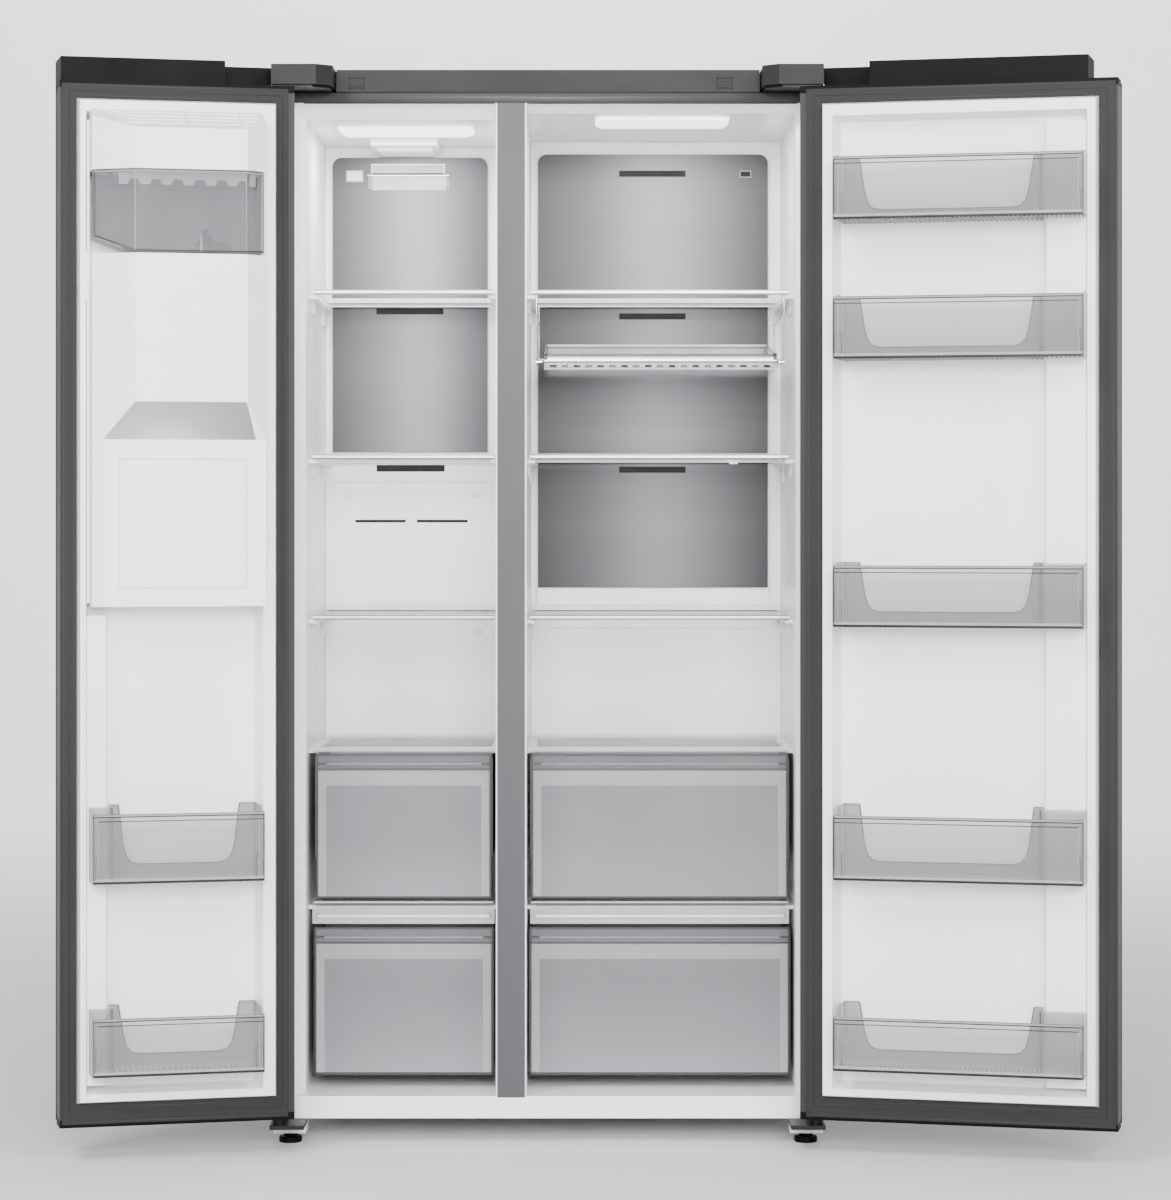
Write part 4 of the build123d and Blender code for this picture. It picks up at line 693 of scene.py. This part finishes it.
# white mouldings of the two compartments
p = Piece("liner_mouldings", CAB, M["white_part"], "cabinet", bevel=1.8, seg=3, second=[M["white_grey"], M["liner_white"]], slot="liner_white")
p.use(0).box(-313, -197, 330, 489, 1686, 1699.6).box(-303, -207, 380, 488, 1681, 1688)
p.use(0).box(-25, 390, 489.4, 498.6, 868, 910.5)
p.use(1).box(-25, 390, 489.0, 490.2, 908.5, 911.4).box(-24, 389, 489.0, 490.4, 872, 873.2)
p.use(1).box(-392, -112, 497.2, 498.4, 1099, 1100.2)
for x, z in ((-360, 1078), (-136, 1078), (-130, 832)):
    c = [(x + 7 * math.cos(math.radians(t)), z + 7 * math.sin(math.radians(t))) for t in range(0, 360, 20)]
    c2 = [(x + 3.2 * math.cos(math.radians(t)), z + 3.2 * math.sin(math.radians(t))) for t in range(0, 360, 30)]
    p.use(1).prism(c, "y", 496.6, 498.4)
    p.use(2).prism(c2, "y", 495.8, 498.4)
# moulded frame of the fridge back wall
for a, b, c, d, w in ((-8, 372, 668, 846, 5),):
    p.use(2).box(a, b, 494.5, 498.4, d - w - 2, d).box(a, a + w, 496, 498.4, 700, d - w - 2).box(b - w, b, 496, 498.4, 700, d - w - 2)
for x0, s in ((-404, 1), (-86, -1), (-36, 1), (412, -1)):
    for z in (1420, 1143, 873):
        lim = 5.4 if x0 in (-404,) else 3.8
        xa, xb = sorted((x0 - 0.4 * s, x0 + lim * s))
        p.use(0).prism([(150, z - 13), (176, z - 36), (212, z - 36), (222, z - 13)], "x", xa, xb)
        p.use(0).prism([(400, z - 13), (410, z - 44), (452, z - 44), (468, z - 13)], "x", xa, xb)
p.make()

# ------------------------------------------------------------------ stage, light, camera
fm, nt, fb = new_mat("floor_pale")
tc = add(nt, "ShaderNodeTexCoord")
nz = add(nt, "ShaderNodeTexNoise", Scale=3.0, Detail=2.0)
nt.links.new(tc.outputs["Object"], nz.inputs["Vector"])
rp = add(nt, "ShaderNodeValToRGB")
rp.color_ramp.elements[0].color, rp.color_ramp.elements[1].color = (0.66, 0.66, 0.66, 1), (0.70, 0.70, 0.70, 1)
nt.links.new(nz.outputs["Fac"], rp.inputs["Fac"])
nt.links.new(rp.outputs["Color"], fb.inputs["Base Color"])
fb.inputs["Roughness"].default_value = 0.6
fb.inputs["Specular IOR Level"].default_value = 0.2
me = bpy.data.meshes.new("floor")
prof = [(-14.0, 0.0), (9.0, 0.0)] + [(9.0 + 2.5 * math.sin(math.radians(t)), 2.5 - 2.5 * math.cos(math.radians(t))) for t in range(6, 91, 6)] + [(11.5, 13.0)]
vs, fs = [], []
for y, z in prof:
    vs += [(-20, y, z), (20, y, z)]
for i in range(len(prof) - 1):
    fs.append((2 * i, 2 * i + 1, 2 * i + 3, 2 * i + 2))
me.from_pydata(vs, [], fs)
for q in me.polygons:
    q.use_smooth = True
me.materials.append(fm)
floor = bpy.data.objects.new("floor", me)
bpy.context.scene.collection.objects.link(floor)

world = bpy.data.worlds.new("soft")
world.use_nodes = True
world.node_tree.nodes["Background"].inputs["Color"].default_value = (1, 1, 1, 1)
world.node_tree.nodes["Background"].inputs["Strength"].default_value = 0.62
bpy.context.scene.world = world


def area(name, loc, target, size, power, color=(1, 1, 1)):
    ld = bpy.data.lights.new(name, "AREA")
    ld.shape, ld.size, ld.size_y, ld.energy, ld.color = "RECTANGLE", size[0], size[1], power, color
    ob = bpy.data.objects.new(name, ld)
    ob.location = loc
    ob.rotation_euler = (Vector(target) - Vector(loc)).to_track_quat("-Z", "Y").to_euler()
    bpy.context.scene.collection.objects.link(ob)
    return ob


area("key", (-2.6, -4.6, 4.6), (0, 0.2, 1.0), (2.2, 2.2), 330)
area("fill", (2.8, -4.8, 3.8), (0, 0.2, 0.9), (2.4, 2.4), 190)
area("front", (0.2, -7.4, 2.3), (0, 0.3, 0.8), (2.6, 1.8), 760)
for n_, x_, y_, z_, sx, sy in (("lamp_left", -0.309, 0.06, 1.692, 0.2, 0.09), ("lamp_right", 0.127, 0.01, 1.702, 0.2, 0.1)):
    area(n_, (x_, y_, z_), (x_, y_ + 0.04, 0.9), (sx, sy), 3.2)
area("back", (0.0, 5.6, 6.8), (0, 11.4, 2.2), (9.0, 2.0), 1500).visible_camera = False

cam_d = bpy.data.cameras.new("cam")
cam_d.sensor_width, cam_d.lens, cam_d.sensor_fit = 36.0, 108.9, "AUTO"
cam_d.shift_y = -0.0683
cam_d.clip_end = 60
cam = bpy.data.objects.new("cam", cam_d)
cam.location = (-0.0028, -6.1613, 1.036)
cam.rotation_euler = (math.radians(90), 0, 0)
bpy.context.scene.collection.objects.link(cam)
bpy.context.scene.camera = cam
